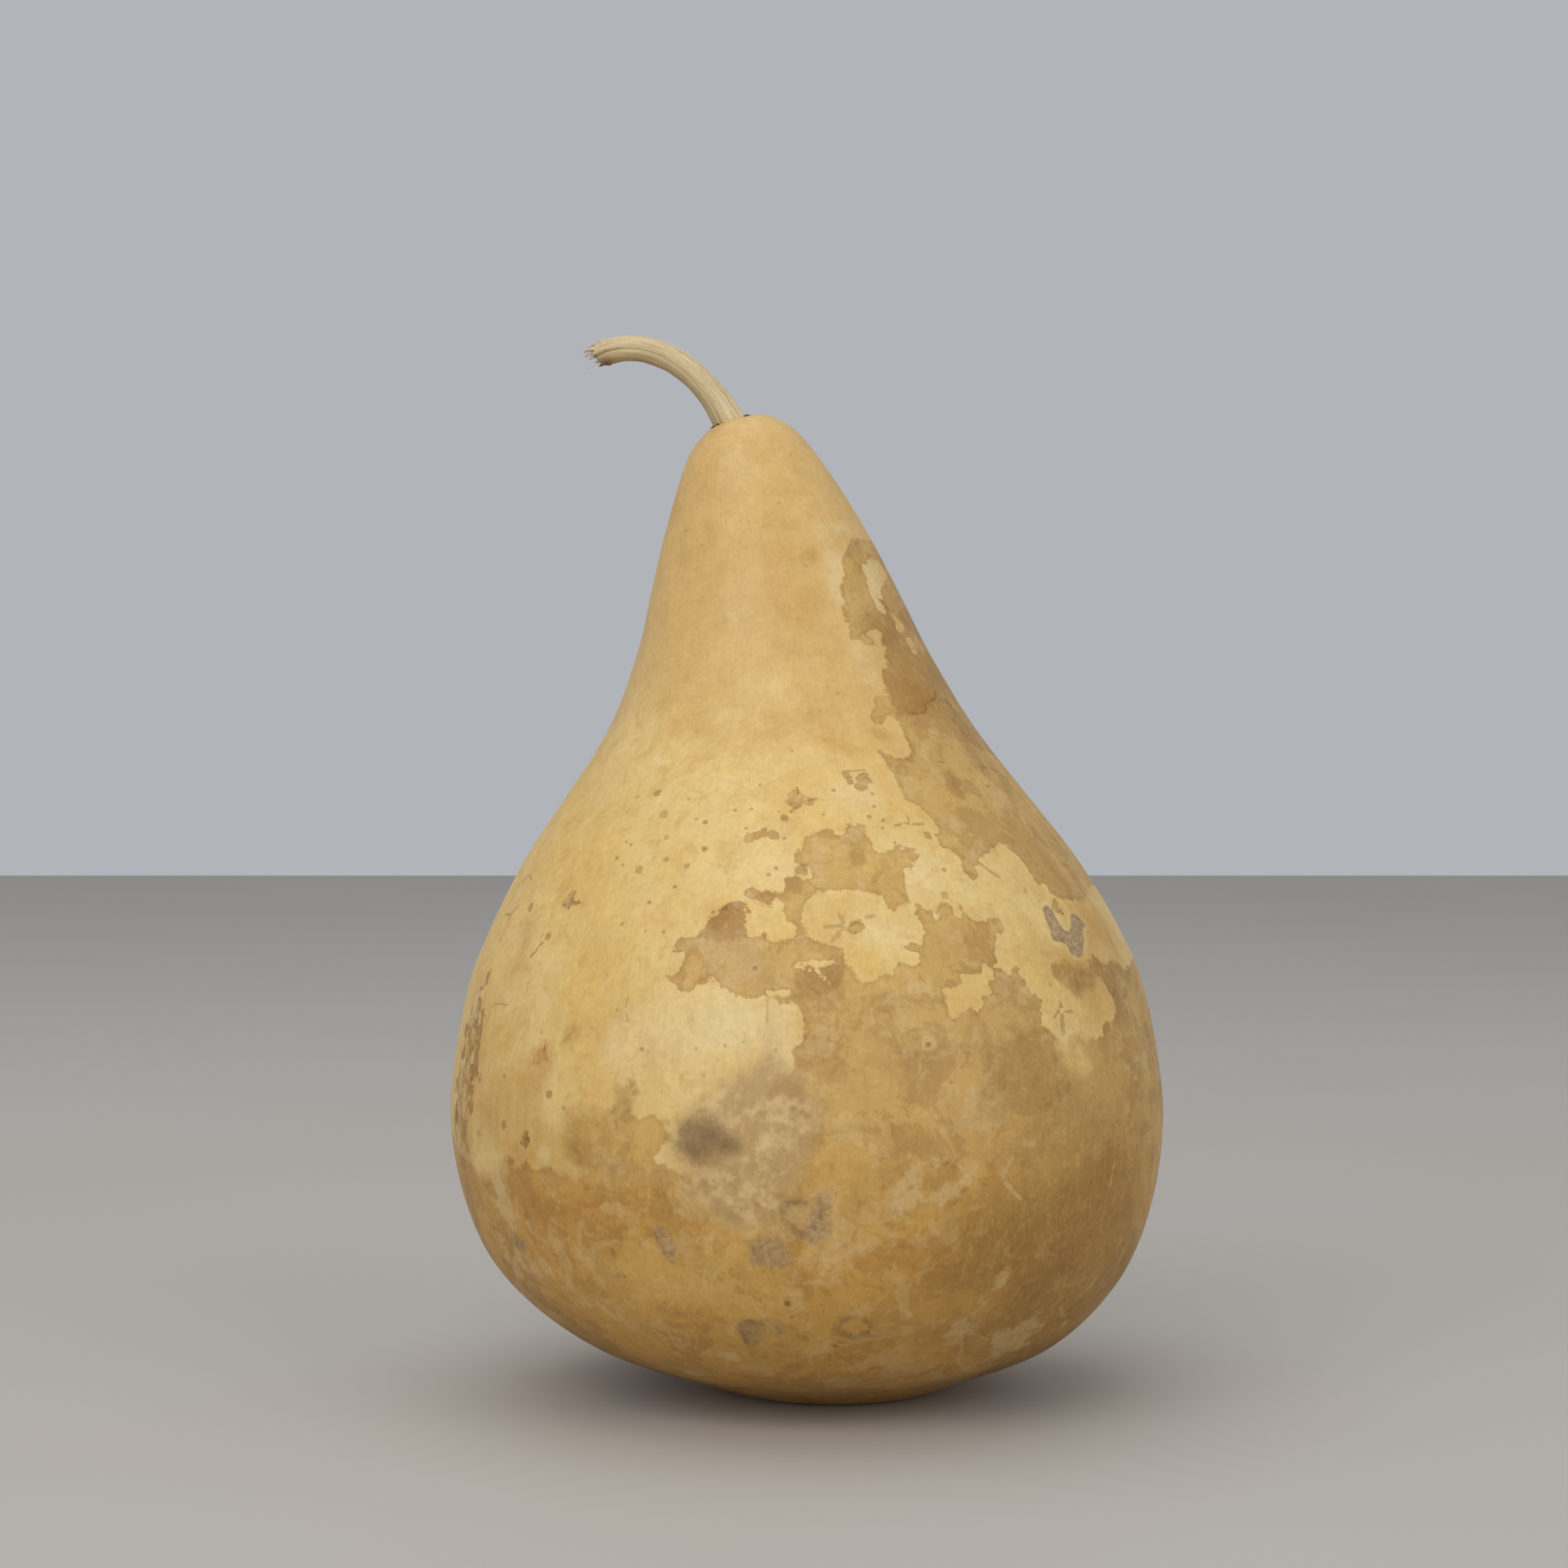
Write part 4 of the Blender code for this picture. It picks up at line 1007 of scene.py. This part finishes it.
def swelling(angle, height, radius):
    """How much the rind stands out from the turned form."""
    full = np.sin(math.pi * np.minimum(1.0, radius / SWELL_RADIUS) / 2)
    out = radius * full * sum(share * np.cos(n * (angle - math.radians(at))) for n, share, at in LOBES)
    for direction, dent_height, spread, depth in DENTS:
        turn = np.radians(wrapped(np.degrees(angle) - direction))
        distance = np.hypot(turn * radius, height - dent_height)
        out = out - depth * np.exp(-((distance / spread) ** 2))
    for round_count, up_count, depth in RIPPLES:
        out = out + full * depth * np.sin(round_count * angle + up_count * height / BELLY_HEIGHT)
    return out * step_between(height, SWELL_FADE[0], SWELL_FADE[0] + SWELL_FADE[1])


def leant(places):
    """Vertices of the upright turned fruit, moved to where they are on the leaning fruit."""
    radius = np.hypot(places[:, 0], places[:, 1])
    angle = np.arctan2(places[:, 1], places[:, 0])
    height = places[:, 2]
    radius = radius + np.where(radius > MERGE_DISTANCE, swelling(angle, height, radius), 0.0)
    up = np.clip((height - BELLY_HEIGHT) / (TIP_HEIGHT - BELLY_HEIGHT), 0.0, 1.0)
    down = np.clip(1.0 - height / BELLY_HEIGHT, 0.0, 1.0)
    cap = np.clip((height - CAP_HEIGHT) / (TIP_HEIGHT - CAP_HEIGHT), 0.0, 1.0)
    foot, neck = FOOT_LEAN * down**FOOT_LEAN_POWER, NECK_LEAN * up**NECK_LEAN_POWER
    lean = np.where(height < BELLY_HEIGHT, foot, neck)
    tilt = CAP_TILT * cap**2
    along = radius * np.cos(angle)
    moved = [lean + along * np.cos(tilt), radius * np.sin(angle), height + along * np.sin(tilt)]
    return np.stack(moved, axis=1)


def make_fruit():
    """The rind: the turned outline with its marks, leant over and set where the solid is."""
    side = evenly_spaced(SIDE_LINE, RIND_RINGS)
    outline = [tuple(point) for point in side] + SCAR_OUTLINE
    mesh = turned("gourd_rind", outline, RIND_COLUMNS)
    upright = vertex_places(mesh)
    skin = Skin(upright)
    add_marks(mesh, skin)
    add_strokes(mesh, skin)
    places = leant(upright)
    middle = (places.min(axis=0) + places.max(axis=0)) / 2
    low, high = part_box("fruit")
    solid_middle = (np.array(low) + np.array(high)) / 2 / MM
    shift = solid_middle[:2] - middle[:2]
    places[:, :2] += shift
    move_vertices(mesh, places * MM)
    piece = new_piece("gourd_rind", mesh, rind_material())
    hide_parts("fruit")
    return shift[1]


def add_marks(mesh, skin):
    """Writes where the stains, patches and tones are, for the rind's material."""
    stains = [FLANK_STAIN, LEDGE_STAIN, LEAF_STAIN, BELLY_STAIN, *SMALL_STAINS, *LEFT_STAINS]
    stain = np.minimum(inside_any(skin, stains), -inside_any(skin, PALE_ISLANDS))
    low_down = np.clip((STAIN_LEVEL - skin.height) * STAIN_SLOPE, -STAIN_LIMIT, STAIN_LIMIT)
    add_values(mesh, "stain", stain + (low_down - stain) * skin.away)
    hidden = HIDDEN_DEPTH * skin.away
    darker = inside_any(skin, DARKER_PLACES + LEFT_STAINS)
    add_values(mesh, "darker", darker + (hidden - darker) * skin.away)
    pale = inside_any(skin, PALE_PLACES)
    add_values(mesh, "pale", pale + (hidden - pale) * skin.away)
    add_values(mesh, "grey_area", inside_any(skin, GREY_AREAS))
    add_values(mesh, "faint_grey", inside_any(skin, FAINT_GREY_AREAS))
    add_values(mesh, "grey", np.maximum(soft_tones(skin, GREY_ROUNDS), soft_bands(skin, GREY_BANDS)))
    for name, tones in SOFT_LAYERS.items():
        add_values(mesh, name, soft_tones(skin, tones))
    add_values(mesh, "away", skin.away)
    turn = np.radians(skin.degrees)
    round_about = BELLY_RADIUS * MM
    grain = [round_about * np.sin(turn), round_about * np.cos(turn), skin.run * MM]
    add_vectors(mesh, "grain", np.stack(grain, axis=1))


class RindBase:
    """The noises and soft tones that the layers of the rind share."""

    def __init__(self, paint):
        self.place = place = paint.place()
        self.grain = paint.attribute("grain", "Vector")
        self.away = paint.attribute("away")
        self.cloud = paint.noise(place, 24.0, 4.0, 0.55)
        self.clump = paint.noise(place, 70.0, 5.0, 0.6, offset=3.1)
        self.mottle = paint.noise(place, 240.0, 4.0, 0.6, offset=5.7)
        self.fine = paint.noise(place, 620.0, 4.0, 0.62, offset=12.4)
        self.frayed = paint.noise(place, 1500.0, 2.0, 0.5, offset=6.1)
        self.blotches = paint.noise(place, 40.0, 8.0, 0.66, 0.5, offset=11.3)
        self.patches = paint.noise(place, 62.0, 8.0, 0.64, 0.8, offset=15.9)
        self.worn = paint.noise(place, 190.0, 7.0, 0.7, 0.6, offset=4.8)
        lobes = paint.noise(place, 310.0, 3.0, 0.62, offset=9.2)
        self.ragged = lobes.swing(5.0) + self.mottle.swing(3.0) + self.clump.swing(2.5)
        shade = paint.attribute("shade") + self.clump.swing(0.7) + self.mottle.swing(0.5)
        self.shade = shade.between(0.1, 0.95)
        self.bright = (paint.attribute("bright") + self.clump.swing(0.9)).between(0.15, 0.85)
        warm = paint.attribute("warm") + self.clump.swing(0.9) + self.blotches.swing(0.8)
        self.warm = warm.between(0.1, 0.9)
        height = paint.part(place, "Z")
        self.low = (height + self.clump.swing(0.05)).between(0.098, 0.055)
        neck = height + self.cloud.swing(0.05) + self.clump.swing(0.02)
        self.neck = neck.between(0.178, 0.218)
        self.scuff_tone = paint.mix(self.shade * 0.85, SCUFF, TAN)


def ground_colour(paint, base):
    """Cream and gold, duller on the neck."""
    ground = paint.mix((base.cloud + base.mottle.swing(0.35)).between(0.36, 0.66), CREAM, GOLD)
    ground = paint.mix(base.blotches.between(0.52, 0.56) * 0.3, ground, GOLD)
    ground = paint.mix(base.worn.between(0.54, 0.62) * 0.22, ground, BRIGHT)
    ground = paint.mix(base.worn.between(0.46, 0.38) * 0.22, ground, ORANGE)
    ground = paint.mix(base.neck * 0.85, ground, NECK)
    # Browner tones, with painted shade along the foot
    ground = paint.mix(base.shade * 0.7, ground, TAN)
    # Paler tones, with painted highlight on the belly and neck
    ground = paint.mix(base.bright * 0.62, ground, BRIGHT)
    ground = paint.mix(base.warm * 0.5, ground, ORANGE)
    return paint.mix(base.patches.between(0.53, 0.57) * 0.14, ground, ORANGE)


def stain_cover(paint, base):
    """How fully a stain covers each place, and how near inside its edge the place is."""
    islands = paint.noise(base.place, 21.0, 6.0, 0.6, 0.4, offset=7.7)
    stain = paint.attribute("stain") + base.ragged + base.away * (islands - 0.5) * 62.0
    soft_edge = paint.attribute("soft_edge")
    soft = soft_edge * 5.0 + 0.3
    stained = stain.between(soft * -1.0, soft)
    return stained, stain.between(1.5, 0.2) * stained * (1.0 - soft_edge)


def stain_colour(paint, base, rim):
    """Tan, browner in places and along the rim."""
    spots = paint.noise(base.place, 34.0, 5.0, 0.6, 0.3, offset=2.9)
    darker = paint.attribute("darker") + base.ragged * 1.3 + base.away * (spots - 0.5) * 44.0
    cloudy = (base.clump + base.mottle.swing(0.5)).between(0.35, 0.7)
    tan = paint.mix(cloudy, TAN, paint_between(TAN, BROWN, 0.3))
    tan = paint.mix(base.low * 0.75, tan, LOW_TAN)
    tan = paint.mix(base.warm * 0.6, tan, ORANGE)
    tan = paint.mix(base.blotches.between(0.50, 0.54) * 0.3, tan, BROWN)
    tan = paint.mix(base.patches.between(0.47, 0.43) * 0.34, tan, base.scuff_tone)
    # Paler tones, with painted highlight on the belly and neck
    tan = paint.mix(base.bright * 0.4, tan, GOLD)
    tan = paint.mix(darker.between(-1.1, 1.2) * 0.44, tan, BROWN)
    # Browner tones, with painted shade along the foot
    tan = paint.mix(base.shade * 0.6, tan, OLIVE)
    return paint.mix(rim * 0.28, tan, BROWN)


def with_scuffs(paint, base, stained, colour):
    """Adds the greyish and the pale scuffed places, and the wear inside the stains."""
    greyish = (paint.attribute("greyish") + base.clump.swing(0.7)).between(0.2, 0.9)
    ashen = paint.mix((base.clump + base.mottle.swing(0.9)).between(0.42, 0.72), ASH, SCUFF)
    colour = paint.mix(greyish * 0.8, colour, ashen)
    scuffs = paint.noise(base.place, 55.0, 6.0, 0.65, 0.5, offset=4.4)
    pale = paint.attribute("pale") + base.ragged * 1.9 + base.away * (scuffs - 0.5) * 34.0
    colour = paint.mix(pale.between(-0.9, 0.9) * 0.6, colour, SCUFF)
    plain = stained * (1.0 - greyish * 0.65)
    colour = paint.mix(base.worn.between(0.56, 0.62) * plain * 0.34, colour, base.scuff_tone)
    return paint.mix(base.worn.between(0.44, 0.37) * plain * 0.3, colour, BROWN)


def with_chafing(paint, base, stained, colour):
    """Adds the fine pale net, the streaky chafing and the net of brown marks."""
    bent = paint.mix(0.04, base.place, paint.noise(base.place, 110.0))
    net = paint.cells(bent, 420.0, "DISTANCE_TO_EDGE")
    netted = net.between(0.09, 0.0) * base.shade * base.mottle.between(0.4, 0.65)
    colour = paint.mix(netted * 0.25, colour, base.scuff_tone)
    long_grain = paint.stretched(base.grain, (1.0, 1.0, 0.45))
    chafe = paint.noise(long_grain, 820.0, 4.0, 0.7, 0.4, offset=8.6)
    colour = paint.mix(chafe.between(0.52, 0.64) * base.shade * stained * 0.4, colour, TAN)
    colour = paint.mix(chafe.between(0.45, 0.36) * base.shade * stained * 0.2, colour, BROWN)
    short_grain = paint.stretched(base.grain, (1.0, 1.0, 0.75))
    marks = paint.noise(short_grain, 190.0, 6.0, 0.68, 1.0, offset=2.2)
    netting = paint.attribute("net").between(0.15, 0.6)
    colour = paint.mix(marks.between(0.47, 0.42) * netting * 0.45, colour, BRIGHT)
    brown = paint_between(BROWN, ORANGE, 0.35)
    return paint.mix(marks.between(0.52, 0.56) * netting * 0.85, colour, brown)


def with_grey_marks(paint, base, colour):
    """Adds the grey weathered marks, and says how grey each place is."""
    grey_area = paint.attribute("grey_area") + base.mottle.swing(1.6)
    halo = grey_area.between(-1.9, -0.8) * base.clump.between(0.42, 0.58)
    colour = paint.mix(halo * 0.4, colour, BRIGHT)
    faint = paint.attribute("faint_grey") + base.mottle.swing(6.0) + base.clump.swing(3.0)
    spots = paint.attribute("grey") + base.mottle.swing(1.3) + base.clump.swing(0.4)
    spots = spots + base.fine.swing(1.1)
    rounds = spots.between(0.25, 0.9) * 0.52 + spots.between(0.7, 1.35) * 0.34
    smoky = grey_area.between(-0.3, 0.4).largest(faint.between(-1.0, 1.4) * 0.72)
    speckled = (base.fine + base.frayed.swing(0.8)).between(0.4, 0.6)
    smoke = paint.mix(speckled, paint_between(SMOKE, GREY, 0.55), SMOKE)
    edge = grey_area.between(1.6, 0.2) * grey_area.between(-0.6, 0.0)
    smoke = paint.mix(edge * 0.3, smoke, GREY)
    colour = paint.mix(smoky * 0.85, colour, smoke)
    return paint.mix(rounds, colour, GREY), smoky.largest(rounds)


def with_thin_marks(paint, base, colour):
    """Adds the pale veins and the dark cracks and spots, and says how dark each place is."""
    mark = paint.attribute("thin_mark", "Vector")
    along, across, tone = (paint.part(mark, axis) for axis in "XYZ")
    far_along = along * along
    reach = far_along * far_along + across * across + base.frayed.swing(1.1) + base.fine.swing(1.6)
    drawn = reach.between(1.25, 0.3)
    cracked = drawn * tone.largest(0.0)
    veined = drawn * (tone * -1.0).largest(0.0)
    colour = paint.mix(veined * 0.4, colour, paint_between(SCUFF, BRIGHT, 0.4))
    return paint.mix(cracked * 0.66, colour, CRACK), cracked


def rind_material():
    """Waxy rind: cream and gold, with crisp tan stains, scuffs, grey marks and thin cracks, painted shade
    low on the sides and painted highlight on the belly and neck.
    """
    paint = Paint("gourd_rind")
    base = RindBase(paint)
    stained, rim = stain_cover(paint, base)
    colour = paint.mix(stained, ground_colour(paint, base), stain_colour(paint, base, rim))
    colour = with_scuffs(paint, base, stained, colour)
    colour = with_chafing(paint, base, stained, colour)
    colour, greyed = with_grey_marks(paint, base, colour)
    colour, cracked = with_thin_marks(paint, base, colour)

    flecks = paint.cells(base.place, 230.0, "F1")
    fleck_colour = paint.cells(base.place, 230.0, "F1", "Color")
    rare = paint.node("ShaderNodeSeparateColor", {}, {0: fleck_colour})
    freckle = flecks.between(0.16, 0.07) * rare.between(0.9, 0.96)
    colour = paint.mix(freckle * 0.35, colour, CRACK)
    streak = paint.noise(paint.stretched(base.grain, (1.0, 1.0, 0.11)), 1500.0, 3.0, 0.55)
    long_grain = paint.stretched(base.grain, (1.0, 1.0, 0.09))
    wide_streak = paint.noise(long_grain, 330.0, 3.0, 0.5, offset=1.3)
    lines = streak.swing(base.neck * 0.14 + 0.18) + wide_streak.swing(base.shade * 0.2 + 0.09)
    specks = base.mottle.swing(stained * 0.1 + 0.28) + base.fine.swing(0.36) + base.worn.swing(0.16)
    colour = paint.mix(1.0, colour, paint.warm_grey(lines + specks), "MULTIPLY")
    # Painted shade low on the sides and along the foot, from the dark tones, mixed towards the shade umber
    dark = paint.attribute("dark") + base.clump.swing(0.6) + base.mottle.swing(0.4)
    colour = paint.mix(dark.between(0.0, 1.0) * 0.68, colour, SHADE_UMBER)

    relief = streak * 0.25 + base.mottle * 0.35 + base.fine * 0.1 - cracked * 1.0 - greyed * 0.25
    relief = relief + rim * 0.12 - freckle * 0.4
    roughness = 0.53 + base.clump.swing(0.12) + greyed * 0.16 + stained * 0.03 + cracked * 0.2
    return paint.finish(
        {
            "Base Color": colour,
            "Roughness": roughness,
            "Normal": paint.bump(relief, 0.00022, 0.7),
            "Coat Weight": 0.06,
            "Coat Roughness": 0.36,
            "Specular IOR Level": 0.42,
        }
    )


def stem_middle(run):
    """Where the stem's middle line is at this distance along it, sideways and up."""
    return [np.interp(run, STEM_RUNS, STEM_LINE[:, i]) for i in range(2)]


def stem_place(run, direction, radius, seat_y):
    """Points of the stem from how far along it they are, their direction and their radius."""
    x, z = stem_middle(run)
    near = np.clip(run, TANGENT_STEP, STEM_LENGTH - TANGENT_STEP)
    ahead_x, ahead_z = stem_middle(near + TANGENT_STEP)
    back_x, back_z = stem_middle(near - TANGENT_STEP)
    length = np.hypot(ahead_x - back_x, ahead_z - back_z)
    along_x, along_z = (ahead_x - back_x) / length, (ahead_z - back_z) / length
    past_end = np.maximum(run - STEM_LENGTH, 0.0)
    outward = radius * np.sin(direction)
    return np.stack(
        [
            STEM_SEAT[0] + x + along_x * past_end + along_z * outward,
            seat_y - radius * np.cos(direction),
            STEM_SEAT[1] + z + along_z * past_end - along_x * outward,
        ],
        axis=1,
    )


def torn_reach(direction):
    """How far the torn edge juts out along the stem at this direction round it."""
    reach = TEAR_CHISEL * np.cos(2 * direction) - TEAR_SETBACK
    for at, half_width, length in SPLINTERS:
        turn = np.abs(wrapped(np.degrees(direction) - at))
        reach = reach + length * np.maximum(0.0, 1 - turn / half_width)
    teeth = sum(share * np.abs(np.sin(count * direction + shift)) for count, shift, share in TEETH)
    return reach + TOOTH_LENGTH * teeth


def make_stem(seat_y):
    """The ribbed stem: a turned blank, bent along its line, with a split and a torn end."""
    length = STEM_LENGTH
    side = [(1.0, run) for run in np.linspace(0.0, length, STEM_RINGS)]
    torn = [(share, length) for share in TORN_RINGS]
    blank = [(0.0, 0.0), (0.5, 0.0), *side, *torn]
    mesh = turned("gourd_stem", blank, STEM_COLUMNS)
    upright = vertex_places(mesh)
    share = np.hypot(upright[:, 0], upright[:, 1])
    run = upright[:, 2].copy()
    direction = np.arctan2(upright[:, 0], -upright[:, 1])
    followed = direction + STEM_TWIST * (1 - run / length)
    ribs = sum(depth * np.cos(count * (followed - math.radians(at))) for count, depth, at in STEM_RIBS)
    width, depth, reach = SPLIT
    split = np.exp(-((wrapped(np.degrees(followed)) / width) ** 2))
    split *= depth * np.exp(-(((length - run) / reach) ** 2))
    wander = sum(deep * np.sin(run * up + round_it * direction) for deep, up, round_it in STEM_WANDER)
    radius = np.interp(run, STEM_RUNS, STEM_LINE[:, 2]) * share * (1 + ribs - split + wander)
    at_end = step_between(run, length - TEAR_SPAN, length)
    hollow = (run > length - 0.01) * TEAR_HOLLOW * (1 - share**2)
    run += at_end * torn_reach(direction) * share**3 - hollow
    places = stem_place(run, direction, radius, seat_y)
    turn = np.stack([np.sin(followed), np.cos(followed), run / STEM_STRETCH], axis=1)
    add_vectors(mesh, "grain", turn)
    add_values(mesh, "to_tear", step_between(run, length - 5.0, length + 1.0))
    # Painted shade in the split and between the ribs, and on the underside
    add_values(mesh, "painted_groove_shade", np.clip(split * 6 - ribs * 8, 0.0, 1.0))
    add_values(mesh, "under", step_between(-np.sin(direction), -0.1, 0.95))
    add_values(mesh, "pith", step_between(share, 0.9, 0.7) * (run > length - PITH_SPAN))
    move_vertices(mesh, places * MM)
    piece = new_piece("gourd_stem", mesh, stem_material())
    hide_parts("stem")


def stem_material():
    """Dry fibrous straw, with painted shade in its grooves and on its underside, darkest under its tip."""
    paint = Paint("dry_stem")
    place = paint.place()
    grain = paint.attribute("grain", "Vector")
    fibre = paint.noise(grain, 9.0, 5.0, 0.65)
    thread = paint.noise(grain, 26.0, 4.0, 0.6, offset=2.3)
    blotch = paint.noise(place, 260.0, 4.0, 0.6)
    speck = paint.noise(place, 1500.0, 2.0, 0.6, offset=1.9)
    groove_shade = paint.attribute("painted_groove_shade")
    tip = paint.attribute("to_tear")
    pith = paint.attribute("pith")
    under = paint.attribute("under")
    colour = paint.mix(fibre.between(0.35, 0.65), STRAW, STRAW_LIGHT)
    colour = paint.mix(thread.between(0.55, 0.75) * 0.5, colour, STRAW_BROWN)
    # Painted shade in the grooves and on the underside, darkest under the tip
    colour = paint.mix(groove_shade * 0.6, colour, STRAW_BROWN)
    colour = paint.mix((under + (fibre - 0.5) * 0.8).between(0.2, 1.0) * 0.4, colour, STRAW_BROWN)
    colour = paint.mix(under * tip * 0.9, colour, SHADE_UMBER)
    colour = paint.mix(blotch.between(0.55, 0.75) * 0.25, colour, STRAW_BROWN)
    colour = paint.mix(speck.between(0.64, 0.72) * 0.4, colour, STRAW_BROWN)
    colour = paint.mix(tip * blotch.between(0.4, 0.6) * 0.35, colour, STRAW_BROWN)
    colour = paint.mix(pith * 0.6, colour, CRACK)
    relief = fibre * 0.8 + thread * 0.6 + speck * 0.2
    return paint.finish(
        {
            "Base Color": colour,
            "Roughness": 0.66 + (blotch - 0.5) * 0.2,
            "Normal": paint.bump(relief, 0.00035, 0.8),
            "Specular IOR Level": 0.35,
        }
    )


def add_fibre(shape, route, radii):
    """A thin closed strand along the route, from one end of it to the other."""
    first = Vector(route[1]) - Vector(route[0])
    made = bmesh.ops.create_cone(
        shape, cap_ends=True, segments=FIBRE_SIDES, radius1=radii[0], radius2=radii[1], depth=first.length,
    )["verts"]
    turn = first.to_track_quat("Z", "Y").to_matrix()
    bmesh.ops.rotate(shape, verts=made, cent=(0, 0, 0), matrix=turn)
    bmesh.ops.translate(shape, verts=made, vec=(Vector(route[0]) + Vector(route[1])) / 2)
    faces = {face for vert in made for face in vert.link_faces}
    end = max(faces, key=lambda face: face.calc_center_median().dot(first))
    for start, goal, before, after in zip(route[1:], route[2:], radii[1:], radii[2:]):
        end = bmesh.ops.extrude_discrete_faces(shape, faces=[end])["faces"][0]
        narrowing = Matrix.Diagonal(Vector.Fill(3, after / before))
        about = Matrix.Translation(-Vector(start))
        bmesh.ops.transform(shape, matrix=narrowing, space=about, verts=end.verts)
        bmesh.ops.translate(shape, verts=end.verts, vec=Vector(goal) - Vector(start))


def make_fibres(seat_y):
    """The splinters and hairs that stand out of the torn end."""
    draw = random.Random(SEED)
    strands = SLATS + HAIRS
    for _ in range(FRINGE_COUNT):
        strands.append([draw.uniform(*limits) for limits in FRINGE_LIMITS])
    shape = bmesh.new()
    for degrees, share, reach, thickness, curl in strands:
        direction = math.radians(degrees)
        shares = np.linspace(0.0, 1.0, FIBRE_STEPS)
        runs = STEM_LENGTH - FIBRE_ROOT + shares * (FIBRE_ROOT + reach)
        bend = FIBRE_BEND * curl * shares**2
        turns = direction + bend
        outs = STEM_LINE[-1, 2] * share * (1 + bend) + curl * FIBRE_LIFT * shares**3
        route = stem_place(runs, turns, outs, seat_y) * MM
        widths = thickness * MM * (1 - FIBRE_TAPER * shares**2)
        add_fibre(shape, [Vector(point) for point in route], list(widths))
    bmesh.ops.recalc_face_normals(shape, faces=shape.faces)
    mesh = bpy.data.meshes.new("stem_fibres")
    shape.to_mesh(mesh)
    shape.free()
    mesh.shade_smooth()
    new_piece("stem_fibres", mesh, fibre_material())


def fibre_material():
    """Pale strands, greyer and browner in turn."""
    paint = Paint("stem_fibres")
    place = paint.place()
    tone = paint.noise(place, 900.0, 2.0, 0.5)
    colour = paint.mix(tone.between(0.35, 0.65), STRAW_LIGHT, STRAW_BROWN)
    relief = paint.noise(place, 4000.0, 2.0, 0.5)
    return paint.finish({"Base Color": colour, "Roughness": 0.8, "Normal": paint.bump(relief, 0.00005)})


def make_scraps(seat_y):
    """Crumpled scraps of dry skin round the stem's foot."""
    draw = random.Random(SEED + 1)
    shape = bmesh.new()
    for (x, y, z), size, turn in SCRAPS:
        made = bmesh.ops.create_icosphere(shape, subdivisions=2, radius=MM)["verts"]
        bmesh.ops.scale(shape, verts=made, vec=size)
        for vert in made:
            vert.co *= draw.uniform(*SCRAP_CRUMPLE)
        turning = Matrix.Rotation(math.radians(turn), 3, "Y")
        bmesh.ops.rotate(shape, verts=made, cent=(0, 0, 0), matrix=turning)
        seat = Vector((STEM_SEAT[0] + x, seat_y + y, STEM_SEAT[1] + z)) * MM
        bmesh.ops.translate(shape, verts=made, vec=seat)
    mesh = bpy.data.meshes.new("stem_scraps")
    shape.to_mesh(mesh)
    shape.free()
    mesh.shade_smooth()
    new_piece("stem_scraps", mesh, scrap_material())


def scrap_material():
    """Dark, dull, crumbly skin."""
    paint = Paint("stem_scraps")
    place = paint.place()
    tone = paint.noise(place, 1200.0, 4.0, 0.6)
    colour = paint.mix(tone.between(0.4, 0.65), SCRAP, STRAW_BROWN)
    return paint.finish({"Base Color": colour, "Roughness": 0.85, "Normal": paint.bump(tone, 0.0001)})


def make_floor():
    """A plain pale floor."""
    shape = bmesh.new()
    bmesh.ops.create_grid(shape, x_segments=1, y_segments=1, size=FLOOR_SIZE / 2)
    mesh = bpy.data.meshes.new("floor")
    shape.to_mesh(mesh)
    shape.free()
    paint = Paint("floor")
    tone = paint.noise(paint.place(), 3.0, 2.0, 0.5)
    colour = paint.mix(tone, FLOOR, paint_between(FLOOR, BACKDROP, 0.2))
    mesh.materials.append(paint.finish({"Base Color": colour, "Roughness": 0.75}))
    floor = bpy.data.objects.new("floor", mesh)
    bpy.context.scene.collection.objects.link(floor)


def make_light():
    for name, (place, (width, tall), power, colour) in SOFT_BOXES.items():
        lamp = bpy.data.lights.new(name, "AREA")
        lamp.shape = "RECTANGLE"
        lamp.size = width
        lamp.size_y = tall
        lamp.energy = power
        lamp.color = colour
        box = bpy.data.objects.new(name, lamp)
        box.location = place
        box.rotation_euler = (AIM - Vector(place)).to_track_quat("-Z", "Y").to_euler()
        bpy.context.scene.collection.objects.link(box)
    world = bpy.data.worlds.new("studio")
    world.use_nodes = True
    background = world.node_tree.nodes["Background"]
    background.inputs["Color"].default_value = (*BACKDROP, 1.0)
    background.inputs["Strength"].default_value = WORLD_STRENGTH
    bpy.context.scene.world = world


def make_camera():
    data = bpy.data.cameras.new("camera")
    data.lens = LENS
    data.sensor_width = SENSOR
    camera = bpy.data.objects.new("camera", data)
    camera.location = CAMERA_PLACE
    camera.rotation_euler = (math.pi / 2 - CAMERA_PITCH, 0.0, 0.0)
    bpy.context.scene.collection.objects.link(camera)
    bpy.context.scene.camera = camera
    bpy.context.scene.view_settings.view_transform = "Standard"


make_camera()
make_light()
make_floor()
seat_depth = make_fruit()
make_stem(seat_depth)
make_fibres(seat_depth)
make_scraps(seat_depth)
